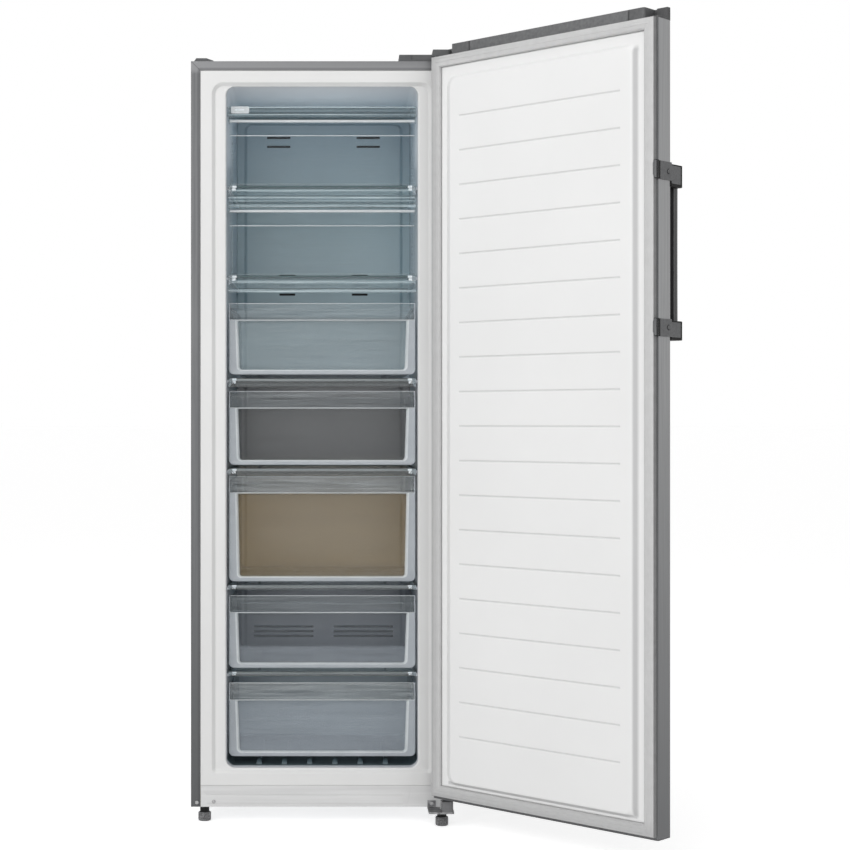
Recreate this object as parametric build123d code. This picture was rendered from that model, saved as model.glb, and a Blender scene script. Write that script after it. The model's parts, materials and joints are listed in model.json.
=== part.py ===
"""Upright freezer: one tall cabinet, one hinged door, two flip-up flaps and five clear drawers.

Millimetres, +Z up.  X = 0 is the middle of the cabinet, Y = 0 is the front plane that the
door seals on (the cabinet lies behind it, at +Y), and Z = 0 is the floor.
The door is drawn shut and then swung open about its hinge pins, which is its rest pose.
"""
import math
import os

from build123d import *

os.makedirs("parts", exist_ok=True)

# ---------------------------------------------------------------- driving dimensions
# Steel case
case_width = 595.0
case_depth = 580.0
case_height = 1692.0
ground_gap = 37.0            # floor to the underside of the case
sheet = 0.8                  # case, door and pan steel
front_strip = 21.5           # width of the steel edge that shows from the front
back_strip = 18.0
kick_height = 49.0           # kick plate, measured up from the underside of the case
kick_thick = 2.5

# Plastic liner and the food space
liner_wall = 1.5
flange_thick = 3.0
flange_seam = 0.6            # gap between the steel edge and the plastic flange
opening_margin = 48.5        # case side to the shallow recess round the mouth
opening_top_margin = 49.0
opening_bottom_rise = 76.5   # recess above the underside of the case
opening_depth = 8.0
opening_slope = 7.0          # width of the recess's sloped shoulder
opening_radius = 25.0        # upper corners
opening_foot_radius = 9.0    # lower corners
side_wall = 79.5             # outside of the case to the food space
roof_wall = 56.0
floor_wall = 87.0
back_wall = 75.0
cavity_radius = 20.0
ledge_reach = 8.0            # shelf ledges moulded into the side walls
ledge_height = 7.0
floor_rib_width = 6.0
floor_rib_height = 12.0
floor_rib_pitch = 58.0
floor_rib_count = 6
floor_rib_start = 30.0

# Machine compartment at the bottom rear
machine_height = 235.0
machine_depth = 220.0
step_wall = 44.0             # foam between the compartment and the lowest drawer
step_roof = 52.0

# Shelves
# Compartments above the lowest shelf, from the top down; they share out the height over it.
compartment_heights = [221.0, 206.0, 235.4, 207.1, 266.8, 198.4]
shelf_over_step = 12.0       # lowest shelf above the step in the cavity's floor
trim_heights = [54.0, 39.0, 20.5, 14.5, 10.5, 10.5]
shelf_side_gap = 3.0
glass_thick = 4.0
glass_front = 42.0
glass_back_gap = 1.0
trim_thick = 4.0
trim_foot = 10.0
trim_lip = 2.2
clip_width = 13.0
clip_reach = 3.0

# Flaps of the two upper compartments
flap_side_gap = 3.0          # flap to the shelf's end
flap_top_drop = 69.5         # upper flap below the cavity's roof
flap_trim_gap = 1.0          # lower flap below the first shelf's moulding
flap_floor_gap = 1.2
flap_thick = 3.0
flap_band = 38.0             # thicker stretch below the barrel
flap_band_thick = 5.0
flap_lip = 5.0
flap_barrel_r = 3.4
flap_pin_r = 2.4
flap_pin_length = 3.2
flap_travel = 85.0
rail_height = 28.0
rail_wall = 2.5
ear_thick = 3.0
ear_drop = 14.0

# Drawers, top one first
drawer_count = 5
drawer_lift = 7.9            # front's lower edge above what the drawer stands on
drawer_drops = [63.6, 29.6, 17.2, 24.7, 26.4]   # top edge below the shelf over it
drawer_side_gap = 4.2
drawer_back_gap = 6.0
drawer_front = 38.0          # front face, behind the cabinet's front plane
drawer_front_thick = 12.0
drawer_bar = 23.0            # clear frame at the two sides of the front
drawer_sill = 16.0
drawer_band = 38.0           # sloped grip along the top
drawer_band_slope = 8.0
drawer_pane = 3.0
drawer_radius = 12.0
tub_wall = 2.5
tub_inset = 6.0
tub_rim_drop = 10.0
tub_radius = 14.0
skid_width = 6.0

# Cold-air parts behind the drawers
coil_space = 67.0            # rear wall of the cavity to the front of the cover
cover_thick = 2.5
cover_side_gap = 2.0
duct_inset = 20.0            # raised duct from the cover's side
duct_rise = 6.0
slot_height = 4.5
upper_slot_drops = [48.6, 71.0]      # below the cavity's roof
upper_slot_length = 59.0
upper_slot_offset = 112.5
lower_slot_rises = [31.8, -15.6]     # from the second shelf
lower_slot_length = 40.0
lower_slot_offset = 91.0
return_slot_rise = 45.7
return_slot_length = 150.0
return_slot_offset = 100.0
coil_side_gap = 28.0
coil_height = 190.0
coil_depth = 46.0
coil_rise = 233.7            # above the step of the cavity
fin_count = 20
fin_thick = 0.8
fin_end_gap = 10.0           # tube ends beyond the outer fins
heater_foot_fin = 2          # the heater's feet stand under this fin, counted from each end
heater_foot_width = 4.0
heater_end_gap = 20.0        # tube ends beyond the heater's
tube_r = 4.0
tube_rows = 5
heater_r = 4.0
heater_drop = 16.0
fan_rise = 130.0             # fan axis above the coil
fan_ring_r = 58.0
fan_ring_wall = 4.0
fan_ring_depth = 24.0
fan_tip_gap = 3.0
fan_hub_r = 16.0
fan_blades = 5
fan_shaft_r = 2.5
running_gap = 0.05
motor_r = 21.0
strut_width = 6.0
drain_outer_r = 8.0
drain_inner_r = 6.0
drain_dip = 5.0              # tube's end below the rim of the tray

# Cooling machine
carrier_thick = 2.0
grommet_height = 12.0
grommet_r = 11.0
compressor_x = -60.0
compressor_r = 72.0
compressor_height = 160.0
compressor_foot = 3.0
foot_pitch_x = 150.0
foot_pitch_y = 104.0
relay_size = (34.0, 52.0, 60.0)
tray_size = (210.0, 150.0, 30.0)
tray_wall = 2.0
pipe_r = 2.5
coil_loops = 6
coil_pipe_pitch = 24.0
coil_pipe_span = 120.0
coil_pipe_offset = 225.0     # beside the compressor
coil_pipe_setback = 92.0     # behind the compartment's front wall
drier_setback = 30.0
drier_r = 9.0
drier_length = 90.0
inlet_r = 11.0
inlet_bore_r = 4.0
inlet_inset = 82.5
inlet_rise = 41.0
louvre_count = 14
louvre_length = 60.0
louvre_width = 5.0
louvre_pitch = 11.0

# Door
door_side_gap = 1.5          # door's side inside the case's side
door_bottom_rise = 32.5
door_top_drop = 3.0          # top of the cap's plate; the front lip stands higher
door_thick = 45.0
cap_plate = 4.0
cap_skirt = 9.0
door_edge = 11.0             # steel turned in at the inner face
door_open_angle = 136.4
pin_from_side = 15.0
pin_from_face = 14.7
lip_height = 22.0
lip_thick = 5.0
block_right_inset = 50.0     # raised part of the top cap
block_left_inset = 34.0
block_inset = 1.5
block_right_joint = 51.0     # joint lines, from the ends of the raised part
block_left_joint = 39.4
joint_width = 1.6
joint_depth = 1.2

# Door seal and inner panel
seal_gap = 1.2               # free seal to the cabinet front, door shut
seal_height = 13.5
seal_width = 25.0
seal_side_inset = 3.0
seal_top_inset = 2.5
seal_bottom_inset = 7.0
seal_round = 3.0
panel_side_inset = 56.0
panel_bottom_inset = 45.5
panel_top_inset = 58.0
panel_rise = 11.7            # above the door's inner face
panel_draft = 2.5
panel_radius = 18.0
panel_round = 2.5
groove_pitch = 75.9
groove_top_inset = 84.4      # first groove below the panel's upper edge
groove_bottom_inset = 60.0
groove_side_inset = 26.0
groove_width = 8.0
groove_depth = 0.8
liner_base = 4.0             # step between the seal and the panel

# Door handle
handle_top = 1435.0
handle_low_top = 1118.0
bracket_heights = [48.0, 42.0]
wrap_heights = [37.0, 36.0]
bracket_reach = 42.0
bracket_wall = 2.5
hook_width = 2.7             # how far the hook comes in from the door's side
hook_height = 12.0
bar_width = 22.0
bar_thick = 14.0
bar_radius = 4.0
bar_inset = 10.5             # bar from the side of the brackets
bar_socket = 6.0
bar_wall = 4.0
handle_screw_y = 11.0        # screw centre behind the door's outer face
handle_screw_drop = [19.5, 17.2]

# Hinges
hinge_plate = 3.0
upper_plate_reach = 91.0     # inwards from the pin axis
upper_plate_back = 62.0
arm_left_gap = 2.5           # cover nose to the raised block of the cap
arm_right = 5.5              # arm's right edge, left of the pin axis
arm_end_r = 7.0
pin_r = 4.0
upper_pin_drop = 30.0
bush_wall = 3.0
bush_flange = 1.5
pin_clearance = 0.05
cover_reach = 106.0
cover_back = 74.0
cover_height = 15.0
cover_wall = 2.0
cover_nose_r = 9.2
lower_plate = 4.0
lower_plate_reach = 42.0
lower_plate_front = -58.0
lower_plate_back = 60.0
tab_width = 19.0
tab_height = 15.0
tab_thick = 3.0
cam_width = 26.0
cam_height = 23.5
lower_pin_r = 5.0
lower_pin_rise = 34.0
plug_width = 44.0
plug_depth = 40.0
plug_height = 7.0

# Feet
left_foot_inset = 29.0
right_foot_inset = 26.9
left_foot_y = 31.0
right_foot_y = -19.0
foot_r = 14.5
foot_grip_height = 20.0
foot_neck_r = 10.5
foot_stud_r = 4.0
foot_stud_rise = 20.0
foot_gap = 0.3
foot_teeth = 16
glide_r = 15.0
glide_inset = 47.5
glide_back_inset = 32.0

# Screws
screw_head_r = 4.2
screw_head = 2.0
screw_shank_r = 1.7
screw_shank = 7.0
screw_clearance = 0.1
kick_screw_inset = 51.8
plate_screw_start = 13.0
plate_screw_pitch = 23.0
plate_screw_y = 35.0

fit = 0.3                    # gap between pieces that only lie beside each other

# ---------------------------------------------------------------- places that follow
case_x = case_width / 2
case_bottom = ground_gap
case_top = ground_gap + case_height
cavity_top = case_top - roof_wall
cavity_floor = case_bottom + floor_wall
cavity_back = case_depth - back_wall
cavity_width = case_width - 2 * side_wall
opening_top = case_top - opening_top_margin
opening_bottom = case_bottom + opening_bottom_rise
opening_width = case_width - 2 * opening_margin
cover_front = cavity_back - coil_space
glass_back = cover_front - duct_rise - glass_back_gap
shelf_width = cavity_width - 2 * shelf_side_gap
flap_width = shelf_width - 2 * flap_side_gap
drawer_width = cavity_width - 2 * drawer_side_gap
kick_top = case_bottom + kick_height
inner_x = case_x - sheet
foam_back = case_depth - 2 * sheet
machine_front = case_depth - machine_depth
machine_roof = case_bottom + machine_height
step_front = machine_front - sheet - step_wall - liner_wall
step_top = machine_roof + sheet + step_roof + liner_wall
share = (cavity_top - step_top - shelf_over_step) / sum(compartment_heights)
shelf_tops = [
    cavity_top - share * sum(compartment_heights[: index + 1])
    for index in range(len(compartment_heights))
]
flap_tops = [cavity_top - flap_top_drop, shelf_tops[0] - trim_heights[0] - flap_trim_gap]
flap_bottoms = [shelf_tops[0] + flap_floor_gap, shelf_tops[1] + flap_floor_gap]
drawer_floors = shelf_tops[2:] + [cavity_floor + floor_rib_height]
drawer_bottoms = [level + drawer_lift for level in drawer_floors]
drawer_tops = [shelf_tops[index + 1] - drawer_drops[index] for index in range(drawer_count)]
drawer_backs = [glass_back - drawer_back_gap] * (drawer_count - 1) + [step_front - drawer_back_gap]
skid_spacing = (floor_rib_count - 1) * floor_rib_pitch
upper_slot_levels = [cavity_top - drop for drop in upper_slot_drops]
lower_slot_levels = [shelf_tops[1] + rise for rise in lower_slot_rises]
return_slot_level = step_top + return_slot_rise
coil_width = cavity_width - 2 * coil_side_gap
coil_bottom = step_top + coil_rise
fan_height = coil_bottom + coil_height + fan_rise
duct_width = cavity_width - 2 * (cover_side_gap + duct_inset)
opening_x = opening_width / 2
cavity_x = cavity_width / 2
door_x = case_x - door_side_gap
door_bottom = case_bottom + door_bottom_rise
door_top = case_top - door_top_drop
panel_half_width = door_x - panel_side_inset
panel_bottom = door_bottom + panel_bottom_inset
panel_top = door_top - panel_top_inset
groove_top = panel_top - groove_top_inset
groove_length = 2 * (panel_half_width - groove_side_inset)
groove_count = 1 + int((groove_top - panel_bottom - groove_bottom_inset) / groove_pitch)
block_right = door_x - block_right_inset
block_left = -door_x + block_left_inset
block_joints = [block_right - block_right_joint, block_left + block_left_joint]
door_inner = -(seal_gap + seal_height)
door_outer = door_inner - door_thick
pin_x = door_x - pin_from_side
pin_y = door_outer + pin_from_face
cover_top_gap = 2.0
drawer_x = drawer_width / 2
tub_x = drawer_x - tub_inset
shelf_x = shelf_width / 2
flap_x = flap_width / 2
flap_axis_y = drawer_front + 6.0
flap_axis = [top - flap_barrel_r for top in flap_tops]
rail_bottom = flap_tops[0] + 2.5
carrier_top = case_bottom + carrier_thick
compressor_y = machine_front + machine_depth / 2
compressor_base = carrier_top + grommet_height + compressor_foot
drain_x = compressor_x
drain_y = compressor_y
drain_end = compressor_base + compressor_height + tray_size[2] - drain_dip
coil_pipe_x = compressor_x + coil_pipe_offset
coil_pipe_y = machine_front + coil_pipe_setback
inlet_x = -case_x + inlet_inset
inlet_z = case_bottom + inlet_rise
upper_plate_left = pin_x - upper_plate_reach
cover_left = pin_x - cover_reach
lower_plate_left = pin_x - lower_plate_reach
left_foot_x = -case_x + left_foot_inset
right_foot_x = case_x - right_foot_inset
glide_x = case_x - glide_inset
glide_y = case_depth - glide_back_inset
skin_front = door_outer + sheet
handle_levels = [handle_top, handle_low_top]


# ---------------------------------------------------------------- shape helpers
def block(x, y, z):
    """A box from its (low, high) pairs along X, Y and Z."""
    middle = Pos((x[0] + x[1]) / 2, (y[0] + y[1]) / 2, (z[0] + z[1]) / 2)
    return middle * Box(x[1] - x[0], y[1] - y[0], z[1] - z[0])


def soft_block(x, y, z, radius, axis=Axis.Y):
    """A box whose four edges along one axis are rounded."""
    body = block(x, y, z)
    return fillet(body.edges().filter_by(axis), radius)


def prism(points, offset):
    """A closed outline of 3-D points, carried along the vector offset."""
    face = make_face(Polyline(*points, close=True))
    reach = math.dist((0, 0, 0), offset)
    return extrude(face, amount=reach, dir=offset)


def prism_front(outline, y):
    """Outline of (x, z) points, carried from y[0] to y[1]."""
    return prism([(px, y[0], pz) for px, pz in outline], (0, y[1] - y[0], 0))


def prism_side(outline, x):
    """Outline of (y, z) points, carried from x[0] to x[1]."""
    return prism([(x[0], py, pz) for py, pz in outline], (x[1] - x[0], 0, 0))


def prism_up(outline, z):
    """Outline of (x, y) points, carried from z[0] to z[1]."""
    return prism([(px, py, z[0]) for px, py in outline], (0, 0, z[1] - z[0]))


def rod(start, end, radius):
    """A round bar between two points."""
    start_point = Vector(*start)
    along = Vector(*end) - start_point
    plane = Plane(origin=start_point, z_dir=along)
    return plane * Cylinder(radius, along.length, align=(Align.CENTER, Align.CENTER, Align.MIN))


def mirrored(x):
    """The (low, high) pair on the other side of X = 0."""
    return (-x[1], -x[0])


def union(pieces):
    """All pieces as one shape."""
    whole = pieces[0]
    for piece in pieces[1:]:
        whole = whole + piece
    return whole


def group(pieces):
    """Separate solids that share one node."""
    return Compound(children=[solid for piece in pieces for solid in piece.solids()])


def screw(place, inward):
    """A pan-head screw; place lies on the surface under its head."""
    point = Vector(*place)
    way = Vector(*inward)
    head = rod(point, point - way * screw_head, screw_head_r)
    shank = rod(point, point + way * screw_shank, screw_shank_r)
    head = fillet(head.edges().group_by(lambda e: (e.center() - point).dot(way))[0], screw_head * 0.45)
    slot = Plane(origin=point - way * screw_head, z_dir=way) * Box(screw_head_r * 1.2, 0.9, 1.6)
    cross = Plane(origin=point - way * screw_head, z_dir=way) * Box(0.9, screw_head_r * 1.2, 1.6)
    return head + shank - slot - cross


def screw_hole(place, inward):
    """Clearance for a screw's shank."""
    point = Vector(*place)
    way = Vector(*inward)
    start = point - way * screw_head
    end = point + way * (screw_shank + screw_clearance)
    return rod(start, end, screw_shank_r + screw_clearance)


def drill(body, screws):
    """Cut the clearance of each (place, inward) screw out of a body."""
    for place, inward in screws:
        body = body - screw_hole(place, inward)
    return body


def save(shape, node):
    export_step(shape, f"parts/{node}.step")


def opened(shape):
    """Swing a piece of the shut door to its rest pose."""
    return shape.rotate(Axis((pin_x, pin_y, 0), (0, 0, 1)), door_open_angle)


# ---------------------------------------------------------------- screw places
strip_screws = [((-case_x + 13.5, 0, case_bottom + 10), (0, 1, 0))]
kick_screws = [((-case_x + kick_screw_inset, 0, case_bottom + 12), (0, 1, 0))]
tab_screws = [((lower_plate_left + tab_width / 2, -tab_thick, case_bottom + 8), (0, 1, 0))]
plate_screws = [
    ((upper_plate_left + plate_screw_start + index * plate_screw_pitch, plate_screw_y, case_top + hinge_plate), (0, 0, -1))
    for index in range(3)
]
plug_screws = [((-case_x + plug_width / 2, plug_depth - 12, case_top + 2.0), (0, 0, -1))]
cover_screws = [
    ((side * (inner_x - 16), case_depth, level), (0, -1, 0))
    for side in (-1, 1)
    for level in (case_bottom + 30, machine_roof - 20)
]
back_screws = [
    ((side * (case_x - back_strip / 2), case_depth, level), (0, -1, 0))
    for side in (-1, 1)
    for level in (machine_roof + 60, (machine_roof + case_top) / 2, case_top - 60)
]
foam_screws = strip_screws + kick_screws + tab_screws + plate_screws + plug_screws + back_screws
all_screws = foam_screws + cover_screws


# ---------------------------------------------------------------- cabinet shell
def foot_hole(radius):
    top = case_bottom + foot_stud_rise + 5
    return rod((left_foot_x, left_foot_y, 0), (left_foot_x, left_foot_y, top), radius)


def outer_case():
    """Left side, top and right side from one sheet, with the edges turned in."""
    span = (-case_x, case_x)
    height = (case_bottom, case_top)
    body = block(span, (0, case_depth), height)
    body -= block((-inner_x, inner_x), (-1, case_depth + 1), (case_bottom - 1, case_top - sheet))
    for y, strip in (((0, sheet), front_strip), ((case_depth - sheet, case_depth), back_strip)):
        body += block((-case_x, -case_x + strip), y, height)
        body += block((case_x - strip, case_x), y, height)
        body += block(span, y, (case_top - strip, case_top))
    return drill(body, all_screws)


def back_panel():
    """Flat rear sheet above the machine compartment, held by the case's rear edges."""
    body = block(
        (-inner_x + fit, inner_x - fit),
        (foam_back, case_depth - sheet),
        (machine_roof + sheet, case_top - sheet - fit),
    )
    return drill(body, back_screws)


def base_pan():
    """Bottom sheet, stepped up over the machine compartment."""
    across = (-inner_x, inner_x)
    body = block(across, (kick_thick, machine_front), (case_bottom, case_bottom + sheet))
    body += block(across, (machine_front - sheet, machine_front), (case_bottom, machine_roof + sheet))
    body += block(across, (machine_front - sheet, foam_back), (machine_roof, machine_roof + sheet))
    drain = rod((drain_x, drain_y, drain_end), (drain_x, drain_y, step_top), drain_outer_r)
    return body - drain - foot_hole(foot_stud_r + foot_gap)


def cavity(grow):
    """Food space behind the front recess, grown on every side by the liner's wall."""
    body = soft_block(
        (-cavity_x - grow, cavity_x + grow),
        (opening_depth - liner_wall + grow, cavity_back + grow),
        (cavity_floor - grow, cavity_top + grow),
        cavity_radius + grow,
    )
    return body - block((-case_x, case_x), (step_front + grow, case_depth), (0, step_top - grow))


def recess_face(y, inset, grow):
    """Outline of the recess at depth y, as a face."""
    x = opening_x - inset + grow
    body = block((-x, x), (y, y + 1), (opening_bottom + inset - grow, opening_top - inset + grow))
    upright = body.edges().filter_by(Axis.Y).group_by(Axis.Z)
    body = fillet(upright[-1], opening_radius - inset + grow)
    lower = body.edges().filter_by(Axis.Y).group_by(Axis.Z)[0]
    body = fillet(lower, opening_foot_radius - inset + grow)
    return body.faces().sort_by(Axis.Y)[0]


def front_recess(grow):
    """Shallow recess with a sloped shoulder, cut from just before the flange."""
    shoulder = loft([recess_face(0, 0, grow), recess_face(opening_depth + grow, opening_slope, grow)])
    return shoulder + extrude(recess_face(-1, 0, grow), amount=1, dir=(0, 1, 0))


def machine_space(grow):
    return block(
        (-case_x, case_x),
        (machine_front - grow, case_depth),
        (0, machine_roof + grow),
    )


def side_foam(side):
    """Insulation between one side of the case and the liner."""
    x = (-inner_x, -cavity_x - liner_wall)
    if side > 0:
        x = mirrored(x)
    body = block(x, (flange_thick, foam_back), (case_bottom + sheet, case_top - sheet))
    body -= front_recess(liner_wall)
    body -= machine_space(sheet)
    return drill(body - foot_hole(foot_stud_r + 2), foam_screws)


def middle_foam(y, z):
    return block((-cavity_x - liner_wall, cavity_x + liner_wall), y, z)


def foam_top():
    body = middle_foam((flange_thick, foam_back), (cavity_top + liner_wall, case_top - sheet))
    return drill(body - front_recess(liner_wall), foam_screws)


def foam_back_slab():
    z = (step_top - liner_wall, cavity_top + liner_wall)
    return middle_foam((cavity_back + liner_wall, foam_back), z)


def foam_floor():
    """Floor slab with the step over the machine compartment."""
    floor_top = cavity_floor - liner_wall
    bottom = case_bottom + sheet
    step_y = (step_front + liner_wall, machine_front - sheet)
    step_z = step_top - liner_wall
    body = middle_foam((flange_thick, machine_front - sheet), (bottom, floor_top))
    body += middle_foam(step_y, (bottom, step_z))
    body += middle_foam((step_y[0], foam_back), (machine_roof + sheet, step_z))
    drain = rod((drain_x, drain_y, drain_end), (drain_x, drain_y, step_top + 5), drain_outer_r)
    return drill(body - front_recess(liner_wall) - drain, foam_screws)


def inner_liner():
    """One vacuum-formed skin: front flange, recess, cavity, shelf ledges and floor ribs."""
    flange_x = case_x - front_strip - flange_seam
    flange_z = (kick_top, case_top - front_strip - flange_seam)
    body = block((-flange_x, flange_x), (0, flange_thick), flange_z)
    body += front_recess(liner_wall) & block((-case_x, case_x), (0, 2 * opening_depth), (0, case_top))
    body += cavity(liner_wall)
    body -= front_recess(0)
    body -= cavity(0)
    for top in shelf_tops:
        under = top - glass_thick
        for side in (-1, 1):
            x = (cavity_x - ledge_reach, cavity_x + liner_wall / 2)
            x = x if side > 0 else mirrored(x)
            body += block(x, (glass_front, glass_back), (under - ledge_height, under))
    for index in range(floor_rib_count):
        middle = (index - (floor_rib_count - 1) / 2) * floor_rib_pitch
        x = (middle - floor_rib_width / 2, middle + floor_rib_width / 2)
        z = (cavity_floor - liner_wall / 2, cavity_floor + floor_rib_height)
        body += block(x, (floor_rib_start, step_front + liner_wall / 2), z)
    drain = rod((drain_x, drain_y, drain_end), (drain_x, drain_y, step_top + 5), drain_outer_r)
    return body - drain


def kick_plate():
    """White plate below the door, with two shallow lines and a slanted end joint."""
    x = case_x - front_strip - flange_seam
    body = block((-x, x), (0, kick_thick), (case_bottom, kick_top - flange_seam))
    for level in (case_bottom + 6, case_bottom + 26):
        body -= block((-x + 14, x - 92), (-1, 0.8), (level, level + 1.5))
    joint_x = x - 84
    joint = [
        (joint_x, case_bottom - 1),
        (joint_x + 2, case_bottom - 1),
        (joint_x + 12, kick_top),
        (joint_x + 10, kick_top),
    ]
    body -= prism_front(joint, (-1, 0.8))
    return drill(body, kick_screws + tab_screws)


# ---------------------------------------------------------------- shelves, flaps, drawers
def shelf_glasses():
    plates = []
    for top in shelf_tops:
        plate = soft_block(
            (-shelf_x, shelf_x), (glass_front, glass_back), (top - glass_thick, top), 5, Axis.Z
        )
        plates.append(plate)
    return group(plates)


def flap_ears(level, root):
    """Two ears that take a flap's pins."""
    ears = []
    for side in (-1, 1):
        x = (shelf_x - ear_thick, shelf_x)
        x = x if side > 0 else mirrored(x)
        y = (drawer_front + 1, flap_axis_y + 6)
        ears.append(block(x, y, (level - flap_barrel_r - 2.5, root)))
    bore = rod((-shelf_x - 1, flap_axis_y, level), (shelf_x + 1, flap_axis_y, level), flap_pin_r + pin_clearance)
    return union(ears) - bore


def shelf_trim(index):
    """Front moulding of one shelf; the first two also show the flap hinge line."""
    top = shelf_tops[index]
    bottom = top - trim_heights[index]
    y = (glass_front - trim_thick, glass_front)
    body = block((-shelf_x, shelf_x), y, (bottom, top))
    under = top - glass_thick
    body += block((-shelf_x, shelf_x), (glass_front - 1, glass_front + trim_foot), (under - trim_lip, under))
    for level in (bottom + 4, under - 2):
        body -= block((-shelf_x + clip_width, shelf_x - clip_width), (y[0] - 1, y[0] + 0.8), (level, level + 1.4))
    for side in (-1, 1):
        x = (shelf_x - clip_width, shelf_x)
        x = x if side > 0 else mirrored(x)
        clip_top = top - 1
        clip = block(x, (y[0] - clip_reach, y[0] + 1), (max(bottom, top - 26), clip_top))
        body += fillet(clip.edges().filter_by(Axis.Z), 0.9)
    for side in (-1, 1):
        x = (shelf_x - ledge_reach - 1, shelf_x + 1)
        x = x if side > 0 else mirrored(x)
        body -= block(x, (glass_front, glass_back), (bottom - 1, under + 0.01))
    if index == 0:
        body += flap_ears(flap_axis[1], bottom + 2)
    return body


def flap_rail():
    """Crossbar at the top of the opening that carries the upper flap."""
    z = (rail_bottom, rail_bottom + rail_height)
    y = (drawer_front, flap_axis_y + 8)
    body = soft_block((-shelf_x, shelf_x), y, z, 2, Axis.X)
    hollow_y = (y[0] + rail_wall, y[1] + 1)
    body -= block((-shelf_x + 20, shelf_x - 20), hollow_y, (z[0] + rail_wall, z[1] - rail_wall))
    for level in (z[0] + 9, z[1] - 11):
        body -= block((-shelf_x + 20, shelf_x - 20), (y[0] - 1, y[0] + 1), (level, level + 2))
    body += flap_ears(flap_axis[0], z[0] + 1)
    for side in (-1, 1):
        x = (shelf_x - 14, cavity_x)
        x = x if side > 0 else mirrored(x)
        body += block(x, (y[0] + 4, y[1]), (z[0] + 6, z[1] - 2))
    return body


def flap(index):
    """Clear flip-up front of an upper compartment, hung from two short pins."""
    axis_z = flap_axis[index]
    bottom = flap_bottoms[index]
    front = flap_axis_y - 1
    body = rod((-flap_x, flap_axis_y, axis_z), (flap_x, flap_axis_y, axis_z), flap_barrel_r)
    body += block((-flap_x, flap_x), (front, front + flap_thick), (bottom, axis_z))
    band_z = (flap_tops[index] - flap_band, axis_z)
    body += block((-flap_x, flap_x), (front - flap_band_thick + flap_thick, front + flap_thick), band_z)
    body += block((-flap_x, flap_x), (front - flap_lip, front + flap_thick), (bottom, bottom + 3))
    pin = flap_x + flap_pin_length
    body += rod((-pin, flap_axis_y, axis_z), (pin, flap_axis_y, axis_z), flap_pin_r)
    return body


def drawer(index):
    """One clear moulding: framed front with a sloped grip, and an open tub on two skids."""
    bottom = drawer_bottoms[index]
    top = drawer_tops[index]
    front = drawer_front
    back = front + drawer_front_thick
    band = top - drawer_band
    slope = [
        (front, bottom),
        (front, band),
        (front + drawer_band_slope, top),
        (back, top),
        (back, bottom),
    ]
    face = prism_side(slope, (-drawer_x, drawer_x))
    lower_corners = face.edges().filter_by(Axis.Y).group_by(Axis.Z)[0]
    face = fillet(lower_corners, drawer_radius)
    window = soft_block(
        (-drawer_x + drawer_bar, drawer_x - drawer_bar),
        (front - 1, back - drawer_pane),
        (bottom + drawer_sill, band - 3),
        drawer_radius,
    )
    face -= window
    tub_y = (back - 1, drawer_backs[index])
    tub_top = top - tub_rim_drop
    tub = soft_block((-tub_x, tub_x), tub_y, (bottom, tub_top), tub_radius, Axis.X)
    tub += block((-tub_x, tub_x), (tub_y[0], tub_y[0] + 2 * tub_radius), (bottom, tub_top))
    tub += block((-tub_x, tub_x), tub_y, (tub_top - 2 * tub_radius, tub_top))
    inside = soft_block(
        (-tub_x + tub_wall, tub_x - tub_wall),
        (back, tub_y[1] - tub_wall),
        (bottom + tub_wall, top + 20),
        tub_radius - tub_wall,
        Axis.X,
    )
    tub -= inside
    tub += block((-drawer_x + 1, -tub_x + 1), (back - 1, tub_y[1]), (tub_top - 3, tub_top))
    tub += block((tub_x - 1, drawer_x - 1), (back - 1, tub_y[1]), (tub_top - 3, tub_top))
    body = face + tub
    for side in (-1, 1):
        middle = side * skid_spacing / 2
        x = (middle - skid_width / 2, middle + skid_width / 2)
        z = (drawer_floors[index] + fit, bottom + tub_wall / 2)
        body += block(x, (back + 16, tub_y[1] - 2 * tub_radius), z)
    return body


# ---------------------------------------------------------------- cold-air parts
def slot_row(levels, length, offset):
    cuts = []
    for level in levels:
        for side in (-1, 1):
            middle = side * offset
            x = (middle - length / 2, middle + length / 2)
            z = (level - slot_height / 2, level + slot_height / 2)
            cuts.append(block(x, (cover_front - duct_rise - 1, cover_front + 10), z))
    return cuts


def evaporator_cover():
    """Moulded rear wall with a raised air duct and its outlets."""
    x = cavity_x - cover_side_gap
    z = (step_top + fit, cavity_top - cover_side_gap)
    body = block((-x, x), (cover_front, cavity_back), z)
    body = fillet(body.edges().filter_by(Axis.Y).group_by(Axis.Z)[-1], cavity_radius)
    body -= block((-x + cover_thick, x - cover_thick), (cover_front + cover_thick, cavity_back + 1), (z[0] - 1, z[1] + 1))
    duct_x = duct_width / 2
    duct_z = (z[0] + 12, z[1] - 12)
    raised = soft_block((-duct_x, duct_x), (cover_front - duct_rise, cover_front + 1), duct_z, 12)
    raised = chamfer(raised.faces().sort_by(Axis.Y)[0].edges(), duct_rise * 0.6)
    body += raised
    body -= soft_block(
        (-duct_x + 8, duct_x - 8),
        (cover_front - duct_rise + cover_thick, cover_front + cover_thick + 1),
        (duct_z[0] + 8, duct_z[1] - 8),
        8,
    )
    cuts = slot_row(upper_slot_levels, upper_slot_length, upper_slot_offset)
    cuts += slot_row(lower_slot_levels, lower_slot_length, lower_slot_offset)
    returns = [return_slot_level + step * 12 for step in range(3)]
    cuts += slot_row(returns, return_slot_length, return_slot_offset)
    for cut in cuts:
        body -= cut
    return body


def fin_middle(index):
    """X of one fin of the cold coil, counted from the left."""
    first = -coil_width / 2 + fin_end_gap + fin_thick / 2
    return first - index * 2 * first / (fin_count - 1)


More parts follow.
